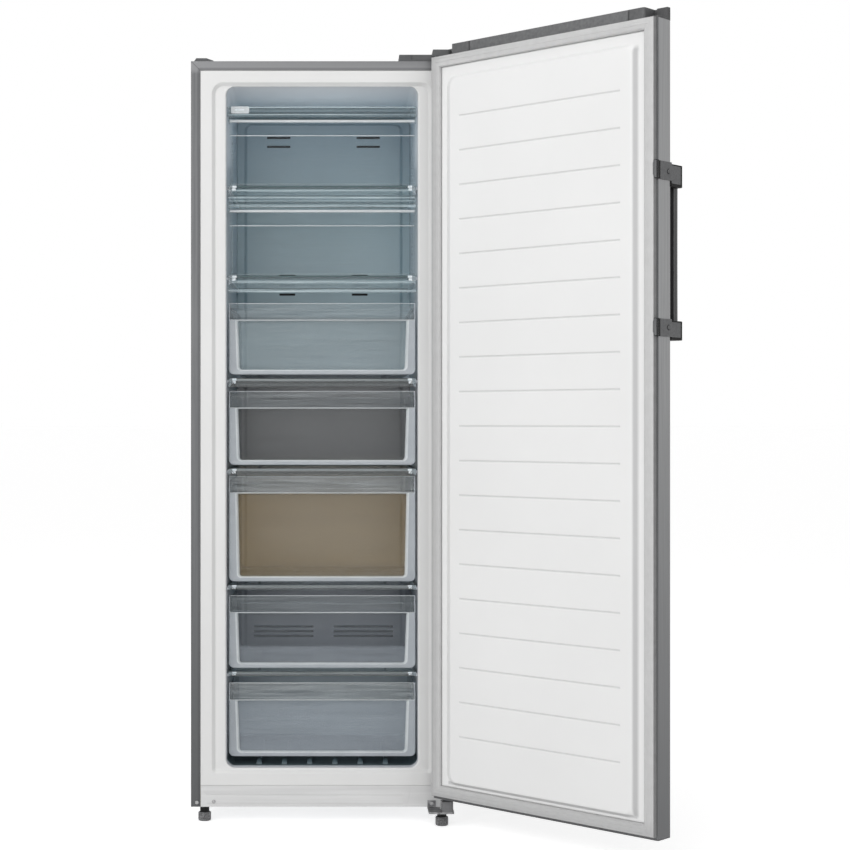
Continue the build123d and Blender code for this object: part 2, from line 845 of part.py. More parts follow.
def evaporator():
    """Finned coil: upright fins on rows of straight tubes."""
    y = (cavity_back - fit - coil_depth, cavity_back - fit)
    z = (coil_bottom, coil_bottom + coil_height)
    half = coil_width / 2
    pieces = []
    for index in range(fin_count):
        x = fin_middle(index)
        pieces.append(block((x - fin_thick / 2, x + fin_thick / 2), y, z))
    for row in range(tube_rows):
        level = z[0] + (row + 0.5) * coil_height / tube_rows
        for depth in (y[0] + coil_depth * 0.3, y[0] + coil_depth * 0.7):
            pieces.append(rod((-half, depth, level), (half, depth, level), tube_r))
    return union(pieces)


def defrost_heater():
    """Sheathed heater hung under the coil by two feet, each under one of its fins."""
    half = coil_width / 2 - heater_end_gap
    level = coil_bottom - heater_drop
    y = cavity_back - fit - coil_depth / 2
    body = rod((-half, y, level), (half, y, level), heater_r)
    for index in (heater_foot_fin, fin_count - 1 - heater_foot_fin):
        middle = fin_middle(index)
        x = (middle - heater_foot_width / 2, middle + heater_foot_width / 2)
        foot = (level + heater_r * 0.5, coil_bottom)
        body += block(x, (y - 3, y + 3), foot)
    return body


def fan_motor():
    """Ring and motor of the cold-air fan, carried by the rear wall."""
    ring_y = (cover_front + cover_thick + fit, cover_front + cover_thick + fit + fan_ring_depth)
    ring = rod((0, ring_y[0], fan_height), (0, ring_y[1], fan_height), fan_ring_r + fan_ring_wall)
    ring -= rod((0, ring_y[0] - 1, fan_height), (0, ring_y[1] + 1, fan_height), fan_ring_r)
    body = ring + rod((0, ring_y[1], fan_height), (0, cavity_back, fan_height), motor_r)
    body += rod((0, ring_y[0] + 4, fan_height), (0, ring_y[1] + 1, fan_height), fan_shaft_r)
    span = fan_ring_r + fan_ring_wall - 1 - motor_r + 3
    for index in range(3):
        strut = Pos(motor_r - 3 + span / 2, 0, 0) * Box(span, strut_width, strut_width)
        middle = Pos(0, ring_y[1] + strut_width / 2 - 2, fan_height)
        body += middle * Rot(0, 90 + 120 * index, 0) * strut
    return body


def fan_rotor():
    """Hub with pitched blades, running on the motor shaft."""
    ring_start = cover_front + cover_thick + fit
    hub_y = (ring_start + 6, ring_start + fan_ring_depth - 4)
    middle = (hub_y[0] + hub_y[1]) / 2
    body = rod((0, hub_y[0], fan_height), (0, hub_y[1], fan_height), fan_hub_r)
    tip = fan_ring_r - fan_tip_gap
    blade_length = tip - fan_hub_r + 3
    for index in range(fan_blades):
        blade = Box(blade_length, 2.0, 26.0)
        blade = Pos(fan_hub_r - 3 + blade_length / 2, 0, 0) * Rot(58, 0, 0) * blade
        body += Pos(0, middle, fan_height) * Rot(0, index * 360 / fan_blades, 0) * blade
    limit = rod((0, hub_y[0], fan_height), (0, hub_y[1], fan_height), tip)
    bore = rod((0, hub_y[0] - 1, fan_height), (0, hub_y[1] + 1, fan_height), fan_shaft_r + running_gap)
    return (body & limit) - bore


def drain_tube():
    """Carries the melt water from the liner's step down to the tray."""
    outer = rod((drain_x, drain_y, drain_end), (drain_x, drain_y, step_top), drain_outer_r)
    return outer - rod((drain_x, drain_y, drain_end - 1), (drain_x, drain_y, step_top + 1), drain_inner_r)


# ---------------------------------------------------------------- cooling machine
def compressor_feet():
    return [
        (compressor_x + sx * foot_pitch_x / 2, compressor_y + sy * foot_pitch_y / 2)
        for sx in (-1, 1)
        for sy in (-1, 1)
    ]


def compressor():
    """Sealed shell with a domed top on a foot plate, with its two pipe stubs."""
    base = compressor_base
    top = compressor_base + compressor_height
    shell = rod((compressor_x, compressor_y, base), (compressor_x, compressor_y, top), compressor_r)
    shell = fillet(shell.edges().group_by(Axis.Z)[-1], 34)
    seam = base + compressor_height * 0.45
    seam_r = compressor_r + 2.5
    shell += rod((compressor_x, compressor_y, seam), (compressor_x, compressor_y, seam + 5), seam_r)
    half_x = foot_pitch_x / 2 + 14
    half_y = foot_pitch_y / 2 + 14
    plate = soft_block(
        (compressor_x - half_x, compressor_x + half_x),
        (compressor_y - half_y, compressor_y + half_y),
        (base - compressor_foot, base),
        10,
        Axis.Z,
    )
    shell += plate
    for height in (0.3, 0.62):
        level = base + compressor_height * height
        start = (compressor_x + compressor_r - 6, compressor_y + 20, level)
        shell += rod(start, (compressor_x + compressor_r + 22, compressor_y + 20, level), pipe_r + 1)
    return shell


def compressor_grommets():
    mounts = []
    for x, y in compressor_feet():
        body = rod((x, y, carrier_top), (x, y, carrier_top + grommet_height), grommet_r)
        waist = rod((x, y, carrier_top + 4), (x, y, carrier_top + grommet_height - 4), grommet_r + 1)
        waist -= rod((x, y, carrier_top), (x, y, carrier_top + grommet_height), grommet_r - 2)
        mounts.append(body - waist)
    return group(mounts)


def compressor_carrier():
    """Cross plate under the machine, with two uprights that hold the condenser coil."""
    body = block(
        (-inner_x + fit, inner_x - fit),
        (machine_front + fit, case_depth - 2.5),
        (case_bottom, carrier_top),
    )
    top = carrier_top + 18 + (coil_loops - 1) * coil_pipe_pitch
    for x in (coil_pipe_x - coil_pipe_span / 3, coil_pipe_x + coil_pipe_span / 3):
        y = (coil_pipe_y + pipe_r + 0.1, coil_pipe_y + pipe_r + 3)
        body += block((x - 6, x + 6), y, (case_bottom, top))
    return body


def start_relay():
    """Starter and overload box on the side of the compressor."""
    width, depth, height = relay_size
    x = compressor_x - compressor_r - width + 6
    z = compressor_base + 40
    body = block(
        (x, x + width), (compressor_y - depth / 2, compressor_y + depth / 2), (z, z + height)
    )
    body = fillet(body.edges().filter_by(Axis.Z), 3)
    return body - rod(
        (compressor_x, compressor_y, z - 1),
        (compressor_x, compressor_y, z + height + 1),
        compressor_r + 2.5,
    )


def drip_tray():
    """Open tray on top of the compressor, where the melt water evaporates."""
    length, depth, height = tray_size
    z = compressor_base + compressor_height
    x = (compressor_x - length / 2, compressor_x + length / 2)
    y = (compressor_y - depth / 2, compressor_y + depth / 2)
    body = soft_block(x, y, (z, z + height), 12, Axis.Z)
    inside_x = (x[0] + tray_wall, x[1] - tray_wall)
    inside_y = (y[0] + tray_wall, y[1] - tray_wall)
    return body - soft_block(inside_x, inside_y, (z + tray_wall, z + height + 1), 10, Axis.Z)


def condenser_coil():
    """Serpentine pipe that stands beside the compressor."""
    half = coil_pipe_span / 2
    low = carrier_top + 14
    points = []
    for loop in range(coil_loops):
        level = low + loop * coil_pipe_pitch
        ends = [coil_pipe_x - half, coil_pipe_x + half]
        if loop % 2:
            ends.reverse()
        points += [(ends[0], coil_pipe_y, level), (ends[1], coil_pipe_y, level)]
    path = FilletPolyline(*points, radius=coil_pipe_pitch * 0.42)
    start = Plane(origin=path @ 0, z_dir=path % 0)
    return sweep(start * Circle(pipe_r), path=path)


def filter_drier():
    """Copper cartridge lying on the carrier plate."""
    y = machine_front + drier_setback
    z = carrier_top + drier_r
    x = coil_pipe_x - drier_length / 2
    body = rod((x, y, z), (x + drier_length, y, z), drier_r)
    body = chamfer(body.edges(), drier_r * 0.5)
    return body + rod((x - 16, y, z), (x + drier_length + 16, y, z), pipe_r)


def machine_cover():
    """Louvred rear plate of the machine compartment."""
    body = block(
        (-inner_x + fit, inner_x - fit),
        (case_depth - sheet - 1.5, case_depth - sheet),
        (carrier_top + fit, machine_roof - fit),
    )
    for row in range(2):
        level = case_bottom + 70 + row * 90
        for index in range(louvre_count):
            x = 20 + (index - louvre_count / 2) * louvre_pitch * 1.6
            body -= block((x, x + louvre_width), (case_depth - 5, case_depth + 1), (level, level + louvre_length))
    body -= rod((inlet_x, case_depth - 10, inlet_z), (inlet_x, case_depth + 10, inlet_z), inlet_r - 3)
    return drill(body, cover_screws)


def mains_inlet():
    """Rubber gland in the rear plate, where the supply lead enters."""
    face = case_depth - sheet
    body = rod((inlet_x, face, inlet_z), (inlet_x, face + 4, inlet_z), inlet_r)
    body += rod((inlet_x, face - 1.5, inlet_z), (inlet_x, face, inlet_z), inlet_r - 3)
    body += rod((inlet_x, face - 5.5, inlet_z), (inlet_x, face - 1.5, inlet_z), inlet_r)
    return body - rod((inlet_x, face - 10, inlet_z), (inlet_x, face + 10, inlet_z), inlet_bore_r)


# ---------------------------------------------------------------- hinges and top pieces
def nose_outline(grow):
    """Plan of the hinge arm around the pin, grown by the cover's wall."""
    left = block_right + arm_left_gap + cover_wall - grow
    right = pin_x - arm_right - cover_wall + grow
    return (left, right)


def upper_hinge_plate():
    """Steel plate on top of the case, with the arm that holds the upper pin."""
    z = (case_top, case_top + hinge_plate)
    left, right = nose_outline(0)
    body = block((upper_plate_left, right), (cover_top_gap + cover_wall + fit, upper_plate_back), z)
    body += block((left, right), (pin_y - arm_end_r, upper_plate_back), z)
    body += block((right - 1, pin_x), (pin_y - arm_end_r, pin_y + arm_end_r), z)
    body += rod((pin_x, pin_y, z[0]), (pin_x, pin_y, z[1]), arm_end_r)
    body -= rod((pin_x, pin_y, z[0] - 1), (pin_x, pin_y, z[1] + 1), pin_r)
    return drill(body, plate_screws)


def hinge_cover():
    """Plastic cap over the upper hinge, open underneath."""
    z = (case_top, case_top + cover_height)
    left, right = nose_outline(cover_wall)
    right_side = case_x - 1

    def outline(shrink, height):
        body = block(
            (cover_left + shrink, right_side - shrink), (cover_top_gap + shrink, cover_back - shrink), height
        )
        body += block((left + shrink, right - shrink), (pin_y - cover_nose_r + shrink, cover_back - shrink), height)
        reach = (pin_y - cover_nose_r + shrink, pin_y + cover_nose_r - shrink)
        body += block((right - 2 * shrink - 1, pin_x), reach, height)
        body += rod((pin_x, pin_y, height[0]), (pin_x, pin_y, height[1]), cover_nose_r - shrink)
        return body

    shell = outline(0, z)
    shell = fillet(shell.faces().sort_by(Axis.Z)[-1].edges(), 1.2)
    shell -= outline(cover_wall - 0.2, (z[0] - 1, z[1] - cover_wall))
    slot_x = cover_left + 28
    return shell - block((slot_x, slot_x + 3.5), (cover_top_gap - 1, cover_top_gap + 1), (z[0] + 3, z[1] - 3))


def lower_hinge_plate():
    """Plate under the case with a front tab; it carries the lower pin and the right foot."""
    z = (case_bottom - lower_plate, case_bottom)
    right = case_x - 1
    body = soft_block((lower_plate_left, right), (lower_plate_front, lower_plate_back), z, 6, Axis.Z)
    body += block((lower_plate_left, lower_plate_left + tab_width), (-tab_thick, 0), (z[0], z[1] + tab_height))
    foot = rod((right_foot_x, right_foot_y, z[0] - 1), (right_foot_x, right_foot_y, z[1] + 1), foot_stud_r + foot_gap)
    body -= foot
    body -= rod((pin_x, pin_y, z[0] - 1), (pin_x, pin_y, z[1] + 1), lower_pin_r)
    return drill(body, tab_screws)


def hinge_cam():
    """Plastic block around the lower pin that the door's bush rides on."""
    half = cam_width / 2
    z = (case_bottom, case_bottom + cam_height)
    body = soft_block((pin_x - half, pin_x + half), (pin_y - half, pin_y + half), z, 5, Axis.Z)
    return body - rod((pin_x, pin_y, z[0] - 1), (pin_x, pin_y, z[1] + 1), lower_pin_r)


def hinge_pins():
    upper = rod((pin_x, pin_y, case_top + hinge_plate), (pin_x, pin_y, case_top - upper_pin_drop), pin_r)
    bottom = case_bottom - lower_plate
    lower = rod((pin_x, pin_y, bottom), (pin_x, pin_y, door_bottom + lower_pin_rise), lower_pin_r)
    return group([upper, lower])


def corner_plug():
    """Wedge-shaped cap over the unused hinge holes, top left."""
    x = -case_x + 7
    outline = [
        (x, case_top),
        (x + 5, case_top + plug_height),
        (x + plug_width - 16, case_top + plug_height),
        (x + plug_width, case_top + 1.5),
        (x + plug_width, case_top),
    ]
    body = prism_front(outline, (2, 2 + plug_depth))
    well_x = -case_x + plug_width / 2
    well_y = plug_depth - 12
    body -= rod((well_x, well_y, case_top + 2), (well_x, well_y, case_top + 20), screw_head_r + 1)
    return drill(body, plug_screws)


def cabinet_screws():
    return group([screw(place, inward) for place, inward in all_screws])


def rear_glides():
    glides = []
    for x in (-glide_x, glide_x):
        body = rod((x, glide_y, 0), (x, glide_y, case_bottom), glide_r)
        glides.append(chamfer(body.edges().group_by(Axis.Z)[0], 2))
    return group(glides)


def levelling_foot(x, y, top):
    """Screw foot with a toothed grip; its sole stands on the floor."""
    body = rod((x, y, 0), (x, y, foot_grip_height), foot_r)
    body = fillet(body.edges().group_by(Axis.Z)[0], 2)
    for index in range(foot_teeth):
        turn = math.radians(index * 360 / foot_teeth)
        cx = x + foot_r * math.cos(turn)
        cy = y + foot_r * math.sin(turn)
        body -= rod((cx, cy, 5), (cx, cy, foot_grip_height + 1), 1.1)
    body += rod((x, y, foot_grip_height - 1), (x, y, top - foot_gap), foot_neck_r)
    body += rod((x, y, foot_grip_height - 1), (x, y, case_bottom + foot_stud_rise), foot_stud_r)
    return body


# ---------------------------------------------------------------- door, drawn shut
def bush_space(upper):
    """Room for a hinge bush in the door, from its cap inwards."""
    if upper:
        return rod((pin_x, pin_y, door_top - 30), (pin_x, pin_y, door_top + 5), pin_r + bush_wall)
    top = door_bottom + lower_pin_rise + 6
    return rod((pin_x, pin_y, door_bottom - 5), (pin_x, pin_y, top), lower_pin_r + bush_wall)


def door_skin():
    """Front, sides and inner edges of the door from one sheet."""
    z = (door_bottom + cap_plate, door_top - cap_plate)
    x = (-door_x, door_x)
    body = soft_block(x, (door_outer, door_inner), z, 3, Axis.Z)
    inside_x = (-door_x + sheet, door_x - sheet)
    body -= soft_block(inside_x, (door_outer + sheet, door_inner - sheet), (z[0] - 1, z[1] + 1), 2.2, Axis.Z)
    window_x = (-door_x + door_edge, door_x - door_edge)
    body -= block(window_x, (door_inner - 2, door_inner + 1), (z[0] - 1, z[1] + 1))
    return drill(body, handle_screw_places)


def panel_block(shrink, start):
    """Raised middle of the door's inner panel, tapered towards its face."""
    top_y = door_inner + panel_rise - shrink
    base = Plane(origin=(0, start, 0), x_dir=(1, 0, 0), z_dir=(0, 1, 0))
    middle = (panel_bottom + panel_top) / 2
    width = 2 * (panel_half_width - shrink)
    height = panel_top - panel_bottom - 2 * shrink
    lower = base * Pos(0, -middle, 0) * RectangleRounded(
        width + 2 * panel_draft, height + 2 * panel_draft, panel_radius - shrink + panel_draft
    )
    upper = base.offset(top_y - start) * Pos(0, -middle, 0) * RectangleRounded(
        width, height, panel_radius - shrink
    )
    body = loft([lower.faces()[0], upper.faces()[0]])
    return fillet(body.faces().sort_by(Axis.Y)[-1].edges(), panel_round - shrink * 0.5)


def door_border(y, inset):
    """Flat border of the door inside the turned-in steel edges."""
    x = door_x - door_edge - inset
    return block((-x, x), y, (door_bottom + cap_plate + cap_skirt, door_top - cap_plate - cap_skirt))


def door_foam():
    x = door_x - sheet
    z = (door_bottom + cap_plate + fit, door_top - cap_plate - fit)
    body = soft_block((-x, x), (skin_front, door_inner - sheet), z, 2.2, Axis.Z)
    body -= cap_room()
    body += panel_block(liner_wall, door_inner - sheet - 1)
    body -= bush_space(True)
    body -= bush_space(False)
    return drill(body, handle_screw_places)


def cap_room():
    """Space of the two caps' inner skirts, on the inner face of the door."""
    y = (door_inner - 6, door_inner + 1)
    x = (-door_x, door_x)
    low = block(x, y, (door_bottom, door_bottom + cap_plate + cap_skirt))
    high = block(x, y, (door_top - cap_plate - cap_skirt, door_top))
    return low + high


def door_liner():
    """Thin inner panel with its raised middle and shallow level grooves."""
    skin = door_border((door_inner - sheet, door_inner + liner_wall - sheet), 0.2)
    ledge_x = door_x - seal_side_inset - seal_width - 1
    ledge_z = (door_bottom + seal_bottom_inset + seal_width + 1, door_top - seal_top_inset - seal_width - 1)
    ledge = block((-ledge_x, ledge_x), (door_inner - sheet, door_inner + liner_base), ledge_z)
    body = skin + ledge + panel_block(0, door_inner - sheet)
    body -= panel_block(liner_wall, door_inner - sheet - 1)
    face = door_inner + panel_rise
    half = groove_length / 2
    for index in range(groove_count):
        level = groove_top - index * groove_pitch
        groove = block(
            (-half, half),
            (face - groove_depth, face + groove_depth),
            (level - groove_width / 2, level + groove_width / 2),
        )
        body -= fillet(groove.edges().filter_by(Axis.Y), groove_width * 0.45)
    return body


def door_gasket():
    """Magnetic seal: four extrusions, mitred and butted at the corners."""
    x = door_x - seal_side_inset
    low = door_bottom + seal_bottom_inset
    high = door_top - seal_top_inset
    inner = (x - seal_width, low + seal_width, high - seal_width)
    y = (door_inner, door_inner + seal_height)
    corners = [(-x, low), (x, low), (x, high), (-x, high)]
    inside = [(-inner[0], inner[1]), (inner[0], inner[1]), (inner[0], inner[2]), (-inner[0], inner[2])]
    cavity_block = door_border((door_inner - 5, door_inner + liner_wall - sheet), 0.2)
    bars = []
    for index in range(4):
        after = (index + 1) % 4
        bar = prism_front([corners[index], corners[after], inside[after], inside[index]], y)
        along = Axis.X if index % 2 == 0 else Axis.Z
        bar = fillet(bar.edges().filter_by(along).group_by(Axis.Y)[-1], seal_round)
        bars.append(bar - cavity_block)
    return group(bars)


def door_cap_top():
    """Top cap: plate, inner skirt, tall front lip and the raised middle block."""
    x = (-door_x, door_x)
    z = (door_top - cap_plate, door_top)
    body = soft_block(x, (door_outer, door_inner), z, 3, Axis.Z)
    skirt_x = (-door_x + door_edge + 0.2, door_x - door_edge - 0.2)
    body += block(skirt_x, (door_inner - 6, door_inner), (z[0] - cap_skirt, z[1]))
    lip_z = (z[0], door_top + lip_height)
    body += soft_block(x, (door_outer, door_outer + lip_thick), lip_z, 2, Axis.Z)
    raised = block((block_left, block_right), (door_outer, door_inner - block_inset), lip_z)
    raised = fillet(raised.edges().filter_by(Axis.Z).group_by(Axis.Y)[-1], 6)
    body += raised
    for level in block_joints:
        joint_y = (door_inner - block_inset - joint_depth, door_inner)
        body -= block((level - joint_width / 2, level + joint_width / 2), joint_y, (z[1], lip_z[1] + 1))
    corner_x = (-door_x, -door_x + 26)
    corner = block(corner_x, (door_outer, door_outer + 2.4 * lip_thick), lip_z)
    body += fillet(corner.edges().filter_by(Axis.Z), 2)
    return body - bush_space(True)


def door_cap_bottom():
    """Bottom cap with its inner skirt."""
    x = (-door_x, door_x)
    z = (door_bottom, door_bottom + cap_plate)
    body = soft_block(x, (door_outer, door_inner), z, 3, Axis.Z)
    skirt_x = (-door_x + door_edge + 0.2, door_x - door_edge - 0.2)
    body += block(skirt_x, (door_inner - 6, door_inner), (z[0], z[1] + cap_skirt))
    return body - bush_space(False)


def hinge_bushes():
    """Plastic bushes in the door; the lower one stands on the cam."""
    low = door_top - 30
    upper = rod((pin_x, pin_y, low), (pin_x, pin_y, door_top), pin_r + bush_wall)
    upper += rod((pin_x, pin_y, door_top), (pin_x, pin_y, door_top + bush_flange), pin_r + bush_wall + 2)
    upper -= rod((pin_x, pin_y, low + 2), (pin_x, pin_y, door_top + 5), pin_r + pin_clearance)
    top = door_bottom + lower_pin_rise + 6
    flange = case_bottom + cam_height + fit
    lower = rod((pin_x, pin_y, flange), (pin_x, pin_y, top), lower_pin_r + bush_wall)
    lower += rod((pin_x, pin_y, flange), (pin_x, pin_y, door_bottom), lower_pin_r + bush_wall + 3)
    lower -= rod((pin_x, pin_y, flange - 1), (pin_x, pin_y, top - 3), lower_pin_r + pin_clearance)
    return group([upper, lower])


# ---------------------------------------------------------------- door handle
handle_screw_places = [
    ((-door_x - bracket_wall, door_outer + handle_screw_y, top - drop), (1, 0, 0))
    for top, drop in zip(handle_levels, handle_screw_drop)
]
bar_y = (door_outer - bracket_reach + 1, door_outer - bracket_reach + 1 + bar_thick)
bar_x = (-door_x - bracket_wall + bar_inset, -door_x - bracket_wall + bar_inset + bar_width)
bar_z = (
    handle_low_top - bracket_heights[1] + bar_socket,
    handle_top - bar_socket,
)


def handle_bar():
    body = block(bar_x, bar_y, bar_z)
    return fillet(body.edges().filter_by(Axis.Z), bar_radius)


def handle_bracket(index):
    """Block that wraps the door's free edge and stands out to hold the bar."""
    top = handle_levels[index]
    z = (top - bracket_heights[index], top)
    wrap_z = (top - wrap_heights[index], top)
    side = -door_x - bracket_wall
    plate = block((side, -door_x), (door_outer - 1, door_inner), wrap_z)
    hook = block((side, -door_x + hook_width), (door_inner, door_inner + hook_height), wrap_z)
    hook = chamfer(hook.edges().filter_by(Axis.X).group_by(Axis.Y)[-1], hook_height / 2)
    wrap = plate + hook
    arm = block(
        (side, side + bar_inset + bar_width + bar_wall),
        (door_outer - bracket_reach, door_outer),
        z,
    )
    arm = fillet(arm.edges().filter_by(Axis.Z).group_by(Axis.Y)[0], 4)
    body = wrap + arm
    room = block(
        (bar_x[0] - 0.1, bar_x[1] + 0.1),
        (bar_y[0] - 0.1, bar_y[1] + 0.1),
        (bar_z[0] - 0.1, bar_z[1] + 0.1),
    )
    body -= fillet(room.edges().filter_by(Axis.Z), bar_radius)
    return drill(body, handle_screw_places)


# ---------------------------------------------------------------- write every node
save(outer_case(), "outer_case")
save(back_panel(), "back_panel")
save(base_pan(), "base_pan")
save(side_foam(-1), "insulation_left")
save(side_foam(1), "insulation_right")
save(foam_top(), "insulation_top")
save(foam_back_slab(), "insulation_back")
save(foam_floor(), "insulation_floor")
save(inner_liner(), "inner_liner")
save(kick_plate(), "kick_plate")
save(shelf_glasses(), "shelf_glasses")
for number in range(len(shelf_tops)):
    save(shelf_trim(number), f"shelf_trim_{number + 1}")
save(flap_rail(), "flap_rail")
save(flap(0), "flap_upper")
save(flap(1), "flap_lower")
for number in range(drawer_count):
    save(drawer(number), f"drawer_{number + 1}")

save(evaporator_cover(), "evaporator_cover")
save(evaporator(), "evaporator")
save(defrost_heater(), "defrost_heater")
save(fan_motor(), "fan_motor")
save(fan_rotor(), "fan_rotor")
save(drain_tube(), "drain_tube")
save(compressor(), "compressor")
save(compressor_grommets(), "compressor_grommets")
save(compressor_carrier(), "compressor_carrier")
save(start_relay(), "start_relay")
save(drip_tray(), "drip_tray")
save(condenser_coil(), "condenser_coil")
save(filter_drier(), "filter_drier")
save(machine_cover(), "machine_cover")
save(mains_inlet(), "mains_inlet")

save(upper_hinge_plate(), "hinge_bracket_upper")
save(hinge_cover(), "hinge_cover")
save(lower_hinge_plate(), "hinge_bracket_lower")
save(hinge_cam(), "hinge_cam")
save(hinge_pins(), "hinge_pins")
save(corner_plug(), "corner_plug")
save(cabinet_screws(), "cabinet_screws")
save(rear_glides(), "rear_glides")
save(levelling_foot(left_foot_x, left_foot_y, case_bottom), "foot_left")
save(levelling_foot(right_foot_x, right_foot_y, case_bottom - lower_plate), "foot_right")

save(opened(door_skin()), "door_skin")
save(opened(door_foam()), "door_foam")
save(opened(door_liner()), "door_liner")
save(opened(door_gasket()), "door_gasket")
save(opened(door_cap_top()), "door_cap_top")
save(opened(door_cap_bottom()), "door_cap_bottom")
save(opened(hinge_bushes()), "hinge_bushes")
save(opened(handle_bar()), "handle_bar")
save(opened(group([handle_bracket(0), handle_bracket(1)])), "handle_brackets")
save(opened(group([screw(place, way) for place, way in handle_screw_places])), "handle_screws")
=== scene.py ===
import json
import math

import bmesh
import bpy
import numpy as np
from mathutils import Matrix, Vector
from mathutils.geometry import tessellate_polygon

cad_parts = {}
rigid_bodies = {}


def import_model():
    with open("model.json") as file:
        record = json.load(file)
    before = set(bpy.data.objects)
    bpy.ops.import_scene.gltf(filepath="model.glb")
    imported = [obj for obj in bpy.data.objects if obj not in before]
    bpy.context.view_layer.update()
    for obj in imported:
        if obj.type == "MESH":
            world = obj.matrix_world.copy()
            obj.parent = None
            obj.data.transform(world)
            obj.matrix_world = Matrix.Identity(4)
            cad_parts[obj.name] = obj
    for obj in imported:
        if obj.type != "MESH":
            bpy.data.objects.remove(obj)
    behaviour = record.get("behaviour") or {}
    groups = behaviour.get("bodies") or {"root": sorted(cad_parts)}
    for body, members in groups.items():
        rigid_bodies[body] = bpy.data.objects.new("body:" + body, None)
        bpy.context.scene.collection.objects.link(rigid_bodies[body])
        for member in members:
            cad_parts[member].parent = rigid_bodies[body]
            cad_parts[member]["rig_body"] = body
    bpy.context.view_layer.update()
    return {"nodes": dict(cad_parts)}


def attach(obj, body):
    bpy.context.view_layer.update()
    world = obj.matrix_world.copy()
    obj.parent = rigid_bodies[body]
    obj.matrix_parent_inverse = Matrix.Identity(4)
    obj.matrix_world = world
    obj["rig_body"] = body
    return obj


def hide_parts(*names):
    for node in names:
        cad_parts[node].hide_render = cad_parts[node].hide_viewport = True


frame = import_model()

# Sizes are millimetres, and makePiece turns them into metres; the materials count in metres.
toMetres = 0.001
sharpDegrees = 38
doorHinge = {"x": 281.0, "y": -45.0, "openDegrees": 136.4}
doorAngle = math.radians(doorHinge["openDegrees"])
# level grooves across the door's inner panel
grooves = {"top": 1583.6, "pitch": 75.9, "count": 19, "half": 214.0, "depth": 1.2, "below": 4.0, "above": 2.0,
           "fade": 6.0}


# ---- surfaces from arrays

def swingDoor(points):
    # a point of the shut door turned about the hinge line: x' = c x - s y, y' = s x + c y
    c, s = math.cos(doorAngle), math.sin(doorAngle)
    x = points[:, 0] - doorHinge["x"]
    y = points[:, 1] - doorHinge["y"]
    turned = points.copy()
    turned[:, 0] = doorHinge["x"] + c * x - s * y
    turned[:, 1] = doorHinge["y"] + s * x + c * y
    return turned


def softOutline(corners, radii, steps=5):
    # closed outline whose corners are arcs touching both sides:
    # reach = r / tan(a/2) along each side, centre = corner + bisector * r / sin(a/2)
    p = np.array(corners, float)
    r = np.broadcast_to(np.asarray(radii, float), (len(p),))[:, None]
    a = np.roll(p, 1, 0) - p
    b = np.roll(p, -1, 0) - p
    a /= np.linalg.norm(a, axis=1, keepdims=True)
    b /= np.linalg.norm(b, axis=1, keepdims=True)
    half = np.arccos(np.clip((a * b).sum(1, keepdims=True), -1, 1)) / 2
    middle = (a + b) / np.linalg.norm(a + b, axis=1, keepdims=True)
    centre = p + middle * r / np.sin(half)
    start = p + a * r / np.tan(half) - centre
    end = p + b * r / np.tan(half) - centre
    spread = (math.pi - 2 * half)[:, None]
    t = np.linspace(0, 1, steps + 1)[None, :, None]
    arc = (np.sin((1 - t) * spread) * start[:, None] + np.sin(t * spread) * end[:, None]) / np.sin(spread)
    return (centre[:, None] + arc).reshape(-1, 2)


def roundedFrame(x, z, radii, steps=6):
    # rounded rectangle from (low, high) pairs; one radius, or four from the lower left corner round
    corners = [(x[0], z[0]), (x[1], z[0]), (x[1], z[1]), (x[0], z[1])]
    return softOutline(corners, radii, steps)


def place(outline, axis, level):
    # an outline of two coordinates stood at one level of the third axis
    level = np.full(len(outline), float(level))
    u, v = outline[:, 0], outline[:, 1]
    return np.stack({"x": (level, u, v), "y": (u, level, v), "z": (u, v, level)}[axis], -1)


def loft(rings, closed=False, finish=0, openEnds=(False, False)):
    # quads between neighbouring rings of equal length; the end rings become flat faces
    rings = np.asarray(rings, float)
    count, size = rings.shape[:2]
    k = np.arange(count if closed else count - 1)[:, None]
    i = np.arange(size)[None, :]
    j, k2 = (i + 1) % size, (k + 1) % count
    quads = np.stack([k * size + i, k * size + j, k2 * size + j, k2 * size + i], -1).reshape(-1, 4)
    faces = quads.tolist()
    if not closed and not openEnds[0]:
        faces.append(list(range(size))[::-1])
    if not closed and not openEnds[1]:
        faces.append(list(range((count - 1) * size, count * size)))
    return rings.reshape(-1, 3), faces, [finish] * len(faces)


def carry(outline, axis, levels, finish=0, round=0.0, steps=3):
    # a profile carried straight along an axis; round draws its ends in along a quarter circle
    if not round:
        return loft([place(outline, axis, level) for level in levels], finish=finish)
    middle = (outline.min(0) + outline.max(0)) / 2
    size = np.maximum(outline.max(0) - outline.min(0), 1e-6)
    turn = np.linspace(0, math.pi / 2, steps + 1)
    drop = round * (1 - np.sin(turn))
    inset = round * (1 - np.cos(turn))
    along = np.concatenate([levels[0] + drop[::-1], levels[-1] - drop])
    shrinks = np.concatenate([inset[::-1], inset])
    rings = [place(middle + (outline - middle) * (1 - 2 * shrink / size), axis, level)
             for level, shrink in zip(along, shrinks)]
    return loft(rings, finish=finish)


def bar(x, z, radius, axis, levels, finish=0, round=0.0, steps=3):
    return carry(roundedFrame(x, z, radius, steps), axis, levels, finish, round)


def mirrored(near, far):
    # the spans from near to far on both sides of the middle
    return [(-far, -near), (near, far)]


def circle(middle, radius, count):
    angle = np.linspace(0, 2 * math.pi, count, endpoint=False)
    return np.array(middle) + radius * np.stack([np.cos(angle), np.sin(angle)], -1)


